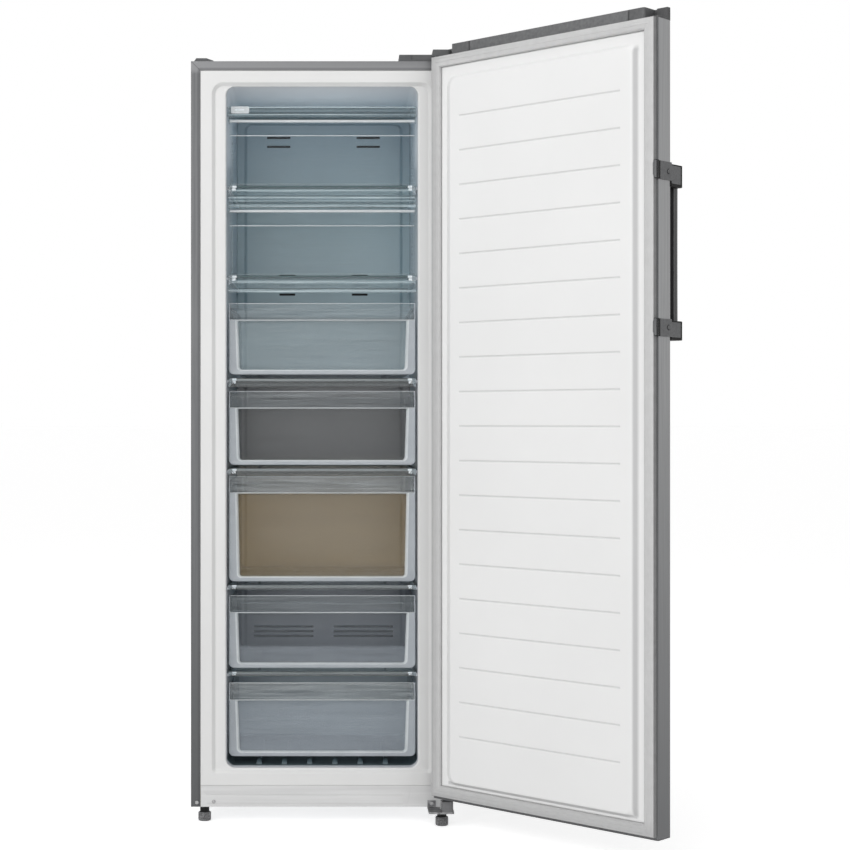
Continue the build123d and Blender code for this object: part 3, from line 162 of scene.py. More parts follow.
def revolved(centre, profile, count, wave=None, finish=0):
    # surface of revolution: radius and height from the profile, angle round it
    profile = np.array(profile, float)
    angle = np.linspace(0, 2 * math.pi, count, endpoint=False)
    radius = profile[:, 0][:, None] * np.ones(count)[None, :]
    if wave is not None:
        radius = radius - wave(angle)[None, :] * profile[:, 2][:, None]
    x = centre[0] + radius * np.cos(angle)
    y = centre[1] + radius * np.sin(angle)
    z = np.broadcast_to(profile[:, 1][:, None], x.shape)
    return loft(np.stack([x, y, z], -1), finish=finish)


def patch(loops):
    # flat face between an outer loop and the holes in it, as triangles on the loops' own points
    triangles = tessellate_polygon([[Vector(point) for point in loop] for loop in loops])
    points = np.concatenate([np.asarray(loop, float) for loop in loops])
    return points, [list(t) for t in triangles], [0] * len(triangles)


def finishByHeight(part, limits, choices):
    # finish of each face from the height of its middle: choices run upwards between the limits
    points, faces, _ = part
    middles = [points[face, 2].mean() for face in faces]
    return points, faces, [choices[k] for k in np.searchsorted(limits, middles)]


def steppedFace(front, top, bands, depth):
    # front edge of a profile read downwards: each band (drop, shade) stands proud or sunk by its shade
    face, limits, choices = [], [], []
    drops = [0.0] + [drop for drop, _ in bands]
    for upper, lower, shade in zip(drops[:-1], drops[1:], [shade for _, shade in bands]):
        y = front + depth[shade]
        face += [(y, top - upper - 0.25), (y, top - lower + 0.25)]
        limits.insert(0, top - lower)
        choices.insert(0, shade)
    return face, limits[1:], choices


def softEdges(obj, width):
    bevel = obj.modifiers.new("softEdges", "BEVEL")
    bevel.width = width * toMetres
    bevel.segments = 3
    bevel.limit_method = "ANGLE"
    bevel.angle_limit = math.radians(sharpDegrees)
    bevel.harden_normals = True
    bevel.miter_outer = "MITER_ARC"


def evenShading(obj):
    normals = obj.modifiers.new("evenShading", "WEIGHTED_NORMAL")
    normals.keep_sharp = True


def makePiece(name, parts, materials, body, nodes=(), door=False, bevel=0.0,
              wall=0.0, facing=None, sharp=sharpDegrees):
    # parts of (points, faces, finishes) in one mesh with coincident points merged; facing is the side
    # that its largest face looks to, bevel rounds its edges, wall thickens a skin inwards
    points = np.concatenate([part[0] for part in parts])
    if door:
        points = swingDoor(points)
    starts = np.cumsum([0] + [len(part[0]) for part in parts[:-1]])
    faces = [[index + start for index in face] for part, start in zip(parts, starts) for face in part[1]]
    finishes = [finish for part in parts for finish in part[2]]
    mesh = bpy.data.meshes.new(name)
    mesh.from_pydata((points * toMetres).tolist(), [], faces)
    mesh.polygons.foreach_set("material_index", finishes)
    bm = bmesh.new()
    bm.from_mesh(mesh)
    bmesh.ops.remove_doubles(bm, verts=bm.verts, dist=2e-6)
    bmesh.ops.recalc_face_normals(bm, faces=bm.faces)
    if facing is not None:
        largest = max(bm.faces, key=lambda f: f.calc_area() * (abs(f.normal.dot(Vector(facing))) > 0.9))
        if largest.normal.dot(Vector(facing)) < 0:
            bmesh.ops.reverse_faces(bm, faces=bm.faces)
    bm.to_mesh(mesh)
    bm.free()
    mesh.shade_smooth()
    mesh.set_sharp_from_angle(angle=math.radians(sharp))
    for material in materials:
        mesh.materials.append(material)
    obj = bpy.data.objects.new(name, mesh)
    bpy.context.scene.collection.objects.link(obj)
    if wall:
        shell = obj.modifiers.new("wall", "SOLIDIFY")
        shell.thickness = wall * toMetres
        shell.offset = -1
    if bevel:
        softEdges(obj, bevel)
    else:
        evenShading(obj)
    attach(obj, body)
    if nodes:
        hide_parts(*nodes)


def dressCopy(node, name, material, slot, bevel):
    # the CAD solid's own mesh, merged, its flat faces joined and its edges rounded
    source = frame["nodes"][node]
    bm = bmesh.new()
    bm.from_mesh(source.data)
    bmesh.ops.remove_doubles(bm, verts=bm.verts, dist=3e-6)
    bmesh.ops.dissolve_limit(bm, angle_limit=math.radians(0.6), verts=bm.verts, edges=bm.edges)
    mesh = bpy.data.meshes.new(name)
    bm.to_mesh(mesh)
    bm.free()
    mesh.materials.clear()
    mesh.materials.append(material)
    mesh.shade_smooth()
    mesh.set_sharp_from_angle(angle=math.radians(sharpDegrees))
    obj = bpy.data.objects.new(name, mesh)
    bpy.context.scene.collection.objects.link(obj)
    softEdges(obj, bevel)
    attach(obj, source["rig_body"])
    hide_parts(node)


# ---- nodes

def addNode(tree, kind, **settings):
    node = tree.nodes.new(kind)
    for key, value in settings.items():
        setattr(node, key, value)
    return node


def feed(tree, socket, value):
    # an output is linked to the socket; a number, vector or colour is set on it
    if isinstance(value, bpy.types.NodeSocket):
        tree.links.new(value, socket)
    else:
        socket.default_value = (*value, 1.0) if socket.type == "RGBA" else value


def calculate(tree, operation, *values, clamp=False):
    node = addNode(tree, "ShaderNodeMath", operation=operation, use_clamp=clamp)
    for socket, value in zip(node.inputs, values):
        feed(tree, socket, value)
    return node.outputs[0]


def vectorMath(tree, operation, first, second):
    node = addNode(tree, "ShaderNodeVectorMath", operation=operation)
    feed(tree, node.inputs[0], first)
    feed(tree, node.inputs[1], second)
    return node.outputs["Value" if operation == "DOT_PRODUCT" else "Vector"]


def ramp(tree, value, low, high, toLow=0.0, toHigh=1.0):
    node = addNode(tree, "ShaderNodeMapRange")
    for label, number in (("From Min", low), ("From Max", high), ("To Min", toLow), ("To Max", toHigh)):
        node.inputs[label].default_value = number
    tree.links.new(value, node.inputs["Value"])
    return node.outputs["Result"]


def position(tree):
    return addNode(tree, "ShaderNodeTexCoord").outputs["Object"]


def splitAlong(tree, axis, vector=None):
    split = addNode(tree, "ShaderNodeSeparateXYZ")
    tree.links.new(position(tree) if vector is None else vector, split.inputs[0])
    return split.outputs[axis]


def noiseOver(tree, vector, scale, detail):
    noise = addNode(tree, "ShaderNodeTexNoise")
    for label, value in (("Vector", vector), ("Scale", scale), ("Detail", detail)):
        feed(tree, noise.inputs[label], value)
    return noise.outputs["Fac"]


def mixColour(tree, factor, first, second):
    mix = addNode(tree, "ShaderNodeMix", data_type="RGBA")
    feed(tree, mix.inputs["Factor"], factor)
    for label, value in (("A", first), ("B", second)):
        feed(tree, next(s for s in mix.inputs if s.name == label and s.type == "RGBA"), value)
    return next(s for s in mix.outputs if s.type == "RGBA")


# ---- shared effects: masks from the piece's own coordinates

def newGroup(name, inputs, outputs):
    # inputs as (label, default), where three numbers make a vector
    tree = bpy.data.node_groups.new(name, "ShaderNodeTree")
    for label, value in inputs:
        kind = "NodeSocketVector" if isinstance(value, tuple) else "NodeSocketFloat"
        tree.interface.new_socket(name=label, in_out="INPUT", socket_type=kind).default_value = value
    for label in outputs:
        tree.interface.new_socket(name=label, in_out="OUTPUT", socket_type="NodeSocketFloat")
    return tree, tree.nodes.new("NodeGroupInput"), tree.nodes.new("NodeGroupOutput")


def useGroup(tree, group, **values):
    node = addNode(tree, "ShaderNodeGroup", node_tree=group)
    for label, value in values.items():
        node.inputs[label.replace("_", " ")].default_value = value
    return node


def makeGrainGroup():
    # fine and broad noise over coordinates that may be drawn out along an axis
    inputs = [("Stretch", (1, 1, 1)), ("Fine Scale", 900.0), ("Broad Scale", 6.0)]
    tree, source, result = newGroup("surfaceGrain", inputs, ["Fine", "Broad"])
    scaled = vectorMath(tree, "MULTIPLY", position(tree), source.outputs["Stretch"])
    for label, detail in (("Fine", 3.0), ("Broad", 4.0)):
        noise = noiseOver(tree, scaled, source.outputs[label + " Scale"], detail)
        tree.links.new(noise, result.inputs[label])
    return tree


def makeEdgeGroup():
    # how far a rounded normal leaves the true one, broken up by noise
    tree, source, result = newGroup("edgeWear", [("Radius", 0.0015), ("Amount", 1.0)], ["Edge"])
    rounded = addNode(tree, "ShaderNodeBevel", samples=4)
    tree.links.new(source.outputs["Radius"], rounded.inputs["Radius"])
    geometry = addNode(tree, "ShaderNodeNewGeometry")
    kept = vectorMath(tree, "DOT_PRODUCT", rounded.outputs["Normal"], geometry.outputs["Normal"])
    spread = ramp(tree, kept, 0.999, 0.90)
    broken = ramp(tree, noiseOver(tree, position(tree), 160.0, 4.0), 0.35, 0.65, 0.35)
    edge = calculate(tree, "MULTIPLY", spread, broken)
    edge = calculate(tree, "MULTIPLY", edge, source.outputs["Amount"], clamp=True)
    tree.links.new(edge, result.inputs["Edge"])
    return tree


def makeDustGroup():
    # settles on faces that look up, thicker in soft patches
    tree, source, result = newGroup("restingDust", [("Amount", 0.2)], ["Dust"])
    geometry = addNode(tree, "ShaderNodeNewGeometry")
    upward = ramp(tree, splitAlong(tree, "Z", geometry.outputs["Normal"]), 0.6, 1.0)
    patches = noiseOver(tree, position(tree), 14.0, 6.0)
    dust = calculate(tree, "MULTIPLY", upward, patches)
    dust = calculate(tree, "MULTIPLY", dust, source.outputs["Amount"], clamp=True)
    tree.links.new(dust, result.inputs["Dust"])
    return tree


grainGroup = makeGrainGroup()
edgeGroup = makeEdgeGroup()
dustGroup = makeDustGroup()
noiseSpan = (0.3, 0.7)
dustTone = (0.62, 0.61, 0.59)


# ---- finishes

def makeFinish(name, tone, shade, rough, fine=900.0, broad=5.0, stretch=(1, 1, 1), bump=0.1, relief=0.00005,
               metallic=0.0, edge=None, edgeAmount=0.5, dust=0.0, coat=0.0, alpha=None, streaks=0.0,
               specular=0.5, across=None, thicken=None):
    # a base finish: tone drifting to shade, fine grain in roughness and bump, worn edges, dust
    material = bpy.data.materials.new(name)
    material.use_nodes = True
    tree = material.node_tree
    shader = tree.nodes["Principled BSDF"]
    grain = useGroup(tree, grainGroup, Stretch=stretch, Fine_Scale=fine, Broad_Scale=broad)
    colour = mixColour(tree, ramp(tree, grain.outputs["Broad"], *noiseSpan), tone, shade)
    if across is not None:
        colour = across(tree, colour)
    if edge is not None:
        worn = useGroup(tree, edgeGroup, Amount=edgeAmount)
        colour = mixColour(tree, worn.outputs["Edge"], colour, edge)
    if dust:
        resting = useGroup(tree, dustGroup, Amount=dust)
        colour = mixColour(tree, resting.outputs["Dust"], colour, dustTone)
    height = addNode(tree, "ShaderNodeBump")
    for label, value in (("Strength", bump), ("Distance", relief), ("Height", grain.outputs["Fine"])):
        feed(tree, height.inputs[label], value)
    values = {"Base Color": colour, "Roughness": ramp(tree, grain.outputs["Fine"], *noiseSpan, *rough),
              "Normal": height.outputs["Normal"], "Metallic": metallic, "Specular IOR Level": specular,
              "Coat Weight": coat, "Coat Roughness": 0.12}
    if alpha is not None:
        # clear plastic and glass thicken towards grazing sight, in faint streaks left by the mould
        facing = addNode(tree, "ShaderNodeLayerWeight")
        facing.inputs["Blend"].default_value = 0.35
        body = ramp(tree, facing.outputs["Facing"], 0.0, 1.0, *alpha)
        if thicken:
            level, share = thicken
            rise = ramp(tree, splitAlong(tree, "Z"), level, level + 0.006, 1.0, share)
            body = calculate(tree, "MULTIPLY", body, rise)
        cloud = ramp(tree, grain.outputs["Fine"], *noiseSpan, 1 - streaks, 1 + streaks)
        values["Alpha"] = calculate(tree, "MULTIPLY", body, cloud, clamp=True)
    for label, value in values.items():
        feed(tree, shader.inputs[label], value)
    return material


def alongDoor(tree):
    # the open door's own x: the position turned back about the hinge line
    c, s = math.cos(doorAngle), math.sin(doorAngle)
    x, y = doorHinge["x"] * toMetres, doorHinge["y"] * toMetres
    turned = vectorMath(tree, "DOT_PRODUCT", position(tree), (c, s, 0))
    return calculate(tree, "ADD", turned, x - x * c - y * s)


# The tone functions below work in metres: pairs are the levels that a change starts and ends at.
cavityShading = {"mouth": (0.010, 0.016), "deep": (0.02, 0.30), "near": (0.74, 0.76, 0.79), "far": (0.56, 0.66, 0.73),
        "shadowBack": (0.030, 0.042), "shadowUnder": (0.150, 0.138), "shadowShare": 0.92, "shadowTone": (0.03, 0.07, 0.085)}


def cavityPaintedShade(tree, colour):
    # painted shade: the liner is tinted bluish past its mouth and painted a little darker further in, where less light
    # reaches
    y, z = splitAlong(tree, "Y"), splitAlong(tree, "Z")
    deepShade = mixColour(tree, ramp(tree, y, *cavityShading["deep"]), cavityShading["near"], cavityShading["far"])
    colour = mixColour(tree, ramp(tree, y, *cavityShading["mouth"]), colour, deepShade)
    # painted shadow under the lowest drawer
    under = ramp(tree, z, *cavityShading["shadowUnder"], 0.0, cavityShading["shadowShare"])
    under = calculate(tree, "MULTIPLY", ramp(tree, y, *cavityShading["shadowBack"]), under)
    return mixColour(tree, under, colour, cavityShading["shadowTone"])


caseShadeAndSeam = {"side": 0.2975, "top": 1.729, "foot": (1.2, 0.15), "footTone": (0.085, 0.087, 0.090),
              "head": (1.700, 1.709), "headHighlightTone": (0.165, 0.167, 0.171),
              "inner": (0.0145, 0.0165), "innerShadeShare": 0.42, "innerShadeTone": (0.05, 0.05, 0.052),
              "mitre": (0.0014, 0.0004), "mitreShare": 0.6, "mitreTone": (0.03, 0.03, 0.031)}


def paintCaseShadeAndSeam(tree, colour):
    # painted shade darker towards the floor and along the inner edge of the front strips, and a painted highlight
    # lighter across the top
    c = caseShadeAndSeam
    x, z = splitAlong(tree, "X"), splitAlong(tree, "Z")
    colour = mixColour(tree, ramp(tree, z, *c["foot"]), colour, c["footTone"])
    colour = mixColour(tree, ramp(tree, z, *c["head"]), colour, c["headHighlightTone"])
    side = calculate(tree, "SUBTRACT", c["side"], calculate(tree, "ABSOLUTE", x))
    above = calculate(tree, "SUBTRACT", c["top"], z)
    inner = ramp(tree, calculate(tree, "MINIMUM", side, above), *c["inner"], 0.0, c["innerShadeShare"])
    colour = mixColour(tree, inner, colour, c["innerShadeTone"])
    # mitre seam at the upper corners
    off = calculate(tree, "ABSOLUTE", calculate(tree, "SUBTRACT", side, above))
    return mixColour(tree, ramp(tree, off, *c["mitre"], 0.0, c["mitreShare"]), colour, c["mitreTone"])


def doorPaintedShade(tree, colour):
    # painted shade: darker towards the floor, where less light falls
    return mixColour(tree, ramp(tree, splitAlong(tree, "Z"), 1.1, 0.1), colour, (0.125, 0.127, 0.130))


caps = {"hinge": (0.1925, 0.1935), "free": (-0.2235, -0.2245), "endShare": 0.45, "endTone": (0.05, 0.05, 0.052),
        "corner": (-0.262, -0.270), "cornerShare": 0.6, "cornerTone": (0.02, 0.02, 0.021),
        "seams": (0.193, -0.224), "seam": (0.0022, 0.0008), "seamShare": 0.9, "seamTone": (0.012, 0.012, 0.013)}


def capBands(tree, colour):
    # end pieces a shade darker, with a seam where each meets the long middle
    x = alongDoor(tree)
    hinge, free = (ramp(tree, x, *caps[end], 0.0, caps["endShare"]) for end in ("hinge", "free"))
    colour = mixColour(tree, calculate(tree, "MAXIMUM", hinge, free), colour, caps["endTone"])
    corner = ramp(tree, x, *caps["corner"], 0.0, caps["cornerShare"])
    colour = mixColour(tree, corner, colour, caps["cornerTone"])
    seams = 0.0
    for seam in caps["seams"]:
        off = calculate(tree, "ABSOLUTE", calculate(tree, "SUBTRACT", x, seam))
        line = ramp(tree, off, *caps["seam"], 0.0, caps["seamShare"])
        seams = calculate(tree, "MAXIMUM", seams, line)
    return mixColour(tree, seams, colour, caps["seamTone"])


def sealPaintedShade(tree, colour):
    # painted shade along the hinge side, where the case shades the seal, and at the foot
    shadeShare, tone = 0.30, (0.26, 0.26, 0.262)
    hinge = ramp(tree, alongDoor(tree), 0.262, 0.285, 0.0, shadeShare)
    foot = ramp(tree, splitAlong(tree, "Z"), 0.112, 0.080, 0.0, shadeShare)
    return mixColour(tree, calculate(tree, "MAXIMUM", hinge, foot), colour, tone)


shades = {"lineReach": 0.212, "lineDrop": 0.0006, "line": (0.0030, 0.0010), "lineShare": 0.34,
          "lineTone": (0.40, 0.40, 0.405), "freeOuter": (-0.2545, -0.2485), "freeInner": (-0.2385, -0.2435),
          "freeTop": (1.674, 1.664), "freeFoot": (0.107, 0.114), "footUpper": (0.1160, 0.1130),
          "footLower": (0.1065, 0.1095), "footPart": 0.8, "footReach": 0.2485, "slopeShare": 0.80,
          "slopeTone": (0.42, 0.42, 0.425)}


def grooveShade(tree, colour):
    # painted shade: a thin soft line under the upper lip of each groove across the panel
    top, pitch = grooves["top"] * toMetres, grooves["pitch"] * toMetres
    x, z = alongDoor(tree), splitAlong(tree, "Z")
    level = calculate(tree, "SUBTRACT", z, top - grooves["count"] * pitch)
    share = calculate(tree, "DIVIDE", calculate(tree, "ADD", level, pitch * 0.5), pitch)
    share = calculate(tree, "FRACT", share)
    off = calculate(tree, "ABSOLUTE", calculate(tree, "SUBTRACT", share, 0.5 + shades["lineDrop"] / pitch))
    line = ramp(tree, off, *(width / pitch for width in shades["line"]))
    away = calculate(tree, "ABSOLUTE", x)
    limits = (("LESS_THAN", away, shades["lineReach"]), ("LESS_THAN", z, top + 0.01),
              ("GREATER_THAN", level, pitch * 0.5))
    for operation, value, limit in limits:
        line = calculate(tree, "MULTIPLY", line, calculate(tree, operation, value, limit))
    line = calculate(tree, "MULTIPLY", line, shades["lineShare"])
    colour = mixColour(tree, line, colour, shades["lineTone"])
    # soft shade in the slope round the panel, deepest at the free side and the foot
    free = calculate(tree, "MINIMUM", ramp(tree, x, *shades["freeInner"]), ramp(tree, x, *shades["freeOuter"]))
    tall = calculate(tree, "MULTIPLY", ramp(tree, z, *shades["freeTop"]), ramp(tree, z, *shades["freeFoot"]))
    upper, lower = (ramp(tree, z, *shades[edge], 0.0, shades["footPart"]) for edge in ("footUpper", "footLower"))
    foot = calculate(tree, "MINIMUM", upper, lower)
    within = calculate(tree, "LESS_THAN", away, shades["footReach"])
    shade = calculate(tree, "MAXIMUM", calculate(tree, "MULTIPLY", free, tall),
                      calculate(tree, "MULTIPLY", foot, within))
    shade = calculate(tree, "MULTIPLY", shade, shades["slopeShare"])
    return mixColour(tree, shade, colour, shades["slopeTone"])


def compartmentPaintedLight(tree, colour):
    # painted light and shade: tints of the compartments from the foot up, by height, lighter or darker as light
    # reaches each one
    bands = addNode(tree, "ShaderNodeValToRGB")
    paintedLevels = [(0.32, (0.46, 0.50, 0.58)), (0.52, (0.44, 0.47, 0.54)), (0.56, (0.70, 0.63, 0.53)),
             (0.79, (0.66, 0.60, 0.52)), (0.83, (0.40, 0.39, 0.40)), (1.0, (0.44, 0.43, 0.44)),
             (1.03, (0.60, 0.70, 0.77)), (1.2, (0.42, 0.55, 0.60)), (1.45, (0.34, 0.47, 0.52)),
             (1.66, (0.30, 0.40, 0.47))]
    height = 1.8
    while len(bands.color_ramp.elements) < len(paintedLevels):
        bands.color_ramp.elements.new(0.5)
    for element, (level, tint) in zip(bands.color_ramp.elements, paintedLevels):
        element.position = level / height
        element.color = (*tint, 1.0)
    tree.links.new(ramp(tree, splitAlong(tree, "Z"), 0.0, height), bands.inputs["Fac"])
    return mixColour(tree, 0.12, bands.outputs["Color"], colour)


# Settings shared by finishes: rolled steel, and clear plastic drawn out across.
brushed = {"stretch": (1, 1, 0.02), "fine": 1400, "broad": 240, "bump": 0.12, "relief": 0.00004,
           "metallic": 0.85}
clearGrain = {"stretch": (0.02, 1, 1), "fine": 320, "broad": 60.0, "bump": 0.03}
# Each finish: material, tone, the shade it drifts to, range of roughness, and what else it has.
# painted light: the case steel is shaded towards the floor and along its strips' inner edge, and highlighted across
# the top
caseSteel = makeFinish("brushedCaseSteel", (0.120, 0.122, 0.125), (0.088, 0.090, 0.093), (0.34, 0.46),
    edge=(0.34, 0.345, 0.35), edgeAmount=0.5, across=paintCaseShadeAndSeam, **brushed)
# painted shade: the door steel darkens towards the floor
doorSteel = makeFinish("brushedDoorSteel", (0.32, 0.322, 0.325), (0.262, 0.264, 0.268), (0.32, 0.44),
    edge=(0.42, 0.425, 0.43), edgeAmount=0.4, across=doorPaintedShade, **brushed)
# painted shade: a darker copy of the door steel for the edge returned round the seal
lipShadedSteel = makeFinish("doorEdgeShadedSteel", (0.085, 0.087, 0.090), (0.065, 0.067, 0.070), (0.32, 0.44),
    across=doorPaintedShade, **brushed)
screwSteel = makeFinish("screwSteel", (0.42, 0.42, 0.422), (0.24, 0.24, 0.242), (0.3, 0.5), fine=1200,
    broad=300, bump=0.1, metallic=0.9)
hingeSteel = makeFinish("hingeSteel", (0.30, 0.30, 0.305), (0.10, 0.10, 0.103), (0.30, 0.52), fine=400,
    broad=90, bump=0.15, metallic=0.95, edge=(0.55, 0.55, 0.55), edgeAmount=0.7)
zincSteel = makeFinish("zincSheet", (0.50, 0.51, 0.52), (0.36, 0.37, 0.385), (0.30, 0.52), fine=260, broad=34,
    bump=0.08, metallic=1.0, edge=(0.66, 0.66, 0.66), dust=0.35)
platedSteel = makeFinish("platedSteel", (0.56, 0.56, 0.565), (0.44, 0.44, 0.45), (0.18, 0.34), fine=1200,
    broad=30, bump=0.05, metallic=1.0, edge=(0.72, 0.72, 0.72))
# the liner's finish carries painted shade and shadow inside the cavity
linerWhite = makeFinish("linerWhite", (0.74, 0.74, 0.735), (0.705, 0.705, 0.70), (0.30, 0.42), fine=700,
    broad=3.5, bump=0.10, relief=0.00006, across=cavityPaintedShade)
panelWhite = makeFinish("doorPanelWhite", (0.85, 0.85, 0.847), (0.82, 0.82, 0.817), (0.32, 0.44), fine=600,
    broad=3.0, bump=0.12, relief=0.00006, across=grooveShade)
plateWhite = makeFinish("kickPlateWhite", (0.70, 0.70, 0.70), (0.615, 0.615, 0.615), (0.34, 0.46),
    stretch=(0.03, 1, 1), fine=600, broad=110.0, bump=0.12, relief=0.00006)
# painted shade: the rear wall's dark bluish tone stands in for the shade deep in the cavity
rearWall = makeFinish("rearWallPlastic", (0.30, 0.36, 0.40), (0.27, 0.33, 0.37), (0.30, 0.42), fine=500,
    broad=4.0, bump=0.10, across=compartmentPaintedLight)
slotDark = makeFinish("slotShadow", (0.004, 0.005, 0.006), (0.008, 0.009, 0.010), (0.6, 0.8))
glassClear = makeFinish("shelfGlass", (0.42, 0.56, 0.58), (0.38, 0.52, 0.55), (0.03, 0.06), fine=80, broad=2.0,
    bump=0.01, alpha=(0.05, 0.30))
glassEdge = makeFinish("shelfGlassEdge", (0.010, 0.045, 0.050), (0.02, 0.07, 0.075), (0.08, 0.16), fine=300,
    broad=30.0, bump=0.03)
trimClear = makeFinish("trimClear", (0.42, 0.55, 0.60), (0.34, 0.46, 0.51), (0.10, 0.22), alpha=(0.09, 0.5),
    streaks=0.9, **clearGrain)
# painted highlight and painted shade: light and dark copies of the clear mouldings for their bands
trimHighlight = makeFinish("trimHighlight", (0.72, 0.84, 0.88), (0.56, 0.70, 0.75), (0.10, 0.22), alpha=(0.36, 0.7),
    streaks=0.5, **clearGrain)
trimShade = makeFinish("trimShade", (0.030, 0.060, 0.070), (0.05, 0.09, 0.10), (0.10, 0.22), alpha=(0.36, 0.6),
    streaks=0.4, **clearGrain)
sillMid = makeFinish("sillMid", (0.13, 0.145, 0.15), (0.10, 0.115, 0.12), (0.18, 0.30), alpha=(0.50, 0.9),
    streaks=0.25, **clearGrain)
# painted highlight and painted shade: light and dark copies of the sill plastic for their bands
sillHighlight = makeFinish("sillHighlight", (0.30, 0.33, 0.34), (0.22, 0.25, 0.26), (0.16, 0.28), alpha=(0.60, 0.9),
    streaks=0.25, **clearGrain)
sillShade = makeFinish("sillShade", (0.06, 0.068, 0.07), (0.045, 0.053, 0.055), (0.2, 0.34), alpha=(0.60, 0.9),
    streaks=0.25, **clearGrain)
# painted glint: near-white clear for the clip fingers and the rail's ridge
clipGlint = makeFinish("clipGlintClear", (0.95, 0.98, 1.0), (0.62, 0.72, 0.77), (0.10, 0.22), fine=700, broad=170.0,
    bump=0.10, coat=0.3, alpha=(0.88, 1.0), streaks=0.12)
toothClear = makeFinish("toothClear", (0.46, 0.53, 0.57), (0.26, 0.33, 0.37), (0.10, 0.22), fine=700,
    broad=110.0, bump=0.10, coat=0.3, alpha=(0.45, 0.9), streaks=0.3)
paneClear = makeFinish("paneClear", (0.52, 0.60, 0.64), (0.44, 0.52, 0.56), (0.05, 0.12), alpha=(0.022, 0.35),
    streaks=0.8, **clearGrain)
bandHazy = makeFinish("bandHazy", (0.66, 0.70, 0.71), (0.46, 0.52, 0.55), (0.08, 0.18), alpha=(0.16, 0.5),
    streaks=0.9, **clearGrain)
# Drawer windows from the top: tone, body seen straight on, and where one thins upwards (level, share left).
windows = [((0.60, 0.75, 0.81), 0.175, None), ((0.60, 0.63, 0.64), 0.050, None), ((0.88, 0.66, 0.34), 0.085, None),
           ((0.66, 0.74, 0.82), 0.150, (0.392, 0.35)), ((0.62, 0.70, 0.78), 0.215, None)]
windowClear = [
    makeFinish(f"windowClear{k + 1}", tone=tone, shade=tuple(0.8 * c for c in tone), rough=(0.05, 0.12),
               alpha=(body, 0.45), streaks=0.25, thicken=rise, **clearGrain)
    for k, (tone, body, rise) in enumerate(windows)
]
bandClear = makeFinish("bandClear", (0.62, 0.68, 0.71), (0.46, 0.53, 0.56), (0.08, 0.18), alpha=(0.085, 0.5),
    streaks=0.9, **clearGrain)
tubClear = makeFinish("tubClear", (0.46, 0.52, 0.57), (0.38, 0.44, 0.50), (0.12, 0.24), fine=160, broad=6.0,
    bump=0.03, alpha=(0.06, 0.42))
tubFloor = makeFinish("tubFloor", (0.54, 0.59, 0.65), (0.40, 0.46, 0.52), (0.12, 0.24), fine=160, broad=20.0,
    bump=0.03, alpha=(0.25, 0.62))
barFrosted = makeFinish("barFrosted", (0.44, 0.475, 0.51), (0.38, 0.415, 0.45), (0.14, 0.28), fine=500,
    broad=16.0, bump=0.05, coat=0.2, alpha=(0.82, 1.0), streaks=0.1)
# painted highlight: a lighter, more solid copy of the clear plastic for lit edges
edgeHighlight = makeFinish("edgeHighlight", (0.70, 0.735, 0.75), (0.60, 0.64, 0.66), (0.10, 0.2), fine=500, broad=20.0,
    bump=0.03, alpha=(0.86, 1.0), streaks=0.1)
sealGrey = makeFinish("sealGrey", (0.575, 0.575, 0.575), (0.54, 0.54, 0.54), (0.55, 0.72), fine=900, broad=60.0,
    bump=0.2, dust=0.1, across=sealPaintedShade)
# painted shade: a darker copy of the seal grey for its outer side
sealShadedSide = makeFinish("sealShadedSide", (0.26, 0.26, 0.262), (0.21, 0.21, 0.212), (0.55, 0.72), fine=900, broad=60.0,
    bump=0.2)
capGrey = makeFinish("capGrain", (0.115, 0.117, 0.120), (0.090, 0.092, 0.095), (0.42, 0.62), fine=1500,
    broad=22.0, bump=0.35, relief=0.00008, edge=(0.22, 0.22, 0.225), edgeAmount=0.5, dust=0.15)
bracketGrey = makeFinish("bracketGrain", (0.135, 0.137, 0.140), (0.085, 0.087, 0.090), (0.40, 0.62), fine=900,
    broad=260.0, bump=0.5, relief=0.00015, metallic=0.15, edge=(0.26, 0.26, 0.265), edgeAmount=0.6)
plugGrey = makeFinish("plugGrain", (0.080, 0.082, 0.085), (0.050, 0.052, 0.055), (0.42, 0.62), fine=700,
    broad=14.0, bump=0.4)
topCapGrey = makeFinish("topCapGrain", (0.150, 0.152, 0.155), (0.100, 0.102, 0.105), (0.42, 0.62), fine=1500,
    broad=150.0, bump=0.35, relief=0.00008, edge=(0.24, 0.24, 0.245), edgeAmount=0.5, dust=0.15,
    across=capBands)
footGrain = makeFinish("footGrain", (0.26, 0.26, 0.265), (0.035, 0.035, 0.037), (0.4, 0.6), fine=800,
    broad=330.0, bump=0.4, relief=0.0002)
matteBlack = makeFinish("matteBlack", (0.006, 0.006, 0.006), (0.012, 0.012, 0.012), (0.55, 0.7), fine=900,
    broad=60.0, bump=0.2, specular=0.2)
gripBlack = makeFinish("gripBlack", (0.014, 0.014, 0.015), (0.022, 0.022, 0.023), (0.24, 0.36),
    stretch=(1, 1, 0.05), fine=1200, broad=20.0, bump=0.08, coat=0.2, edge=(0.10, 0.10, 0.10), edgeAmount=0.4)
blackPlastic = makeFinish("mouldedBlack", (0.030, 0.030, 0.032), (0.045, 0.045, 0.047), (0.4, 0.6), fine=900,
    broad=20.0, bump=0.2, edge=(0.12, 0.12, 0.12), dust=0.3)
blackRubber = makeFinish("blackRubber", (0.020, 0.020, 0.020), (0.035, 0.035, 0.035), (0.65, 0.85), fine=700,
    broad=30.0, bump=0.3, dust=0.3)
enamelBlack = makeFinish("compressorEnamel", (0.012, 0.012, 0.013), (0.020, 0.020, 0.021), (0.16, 0.30),
    fine=120, broad=12.0, bump=0.06, coat=0.5, dust=0.4)
finAluminium = makeFinish("finAluminium", (0.68, 0.69, 0.70), (0.55, 0.56, 0.57), (0.26, 0.42), fine=800,
    broad=24.0, bump=0.08, metallic=1.0, dust=0.3)
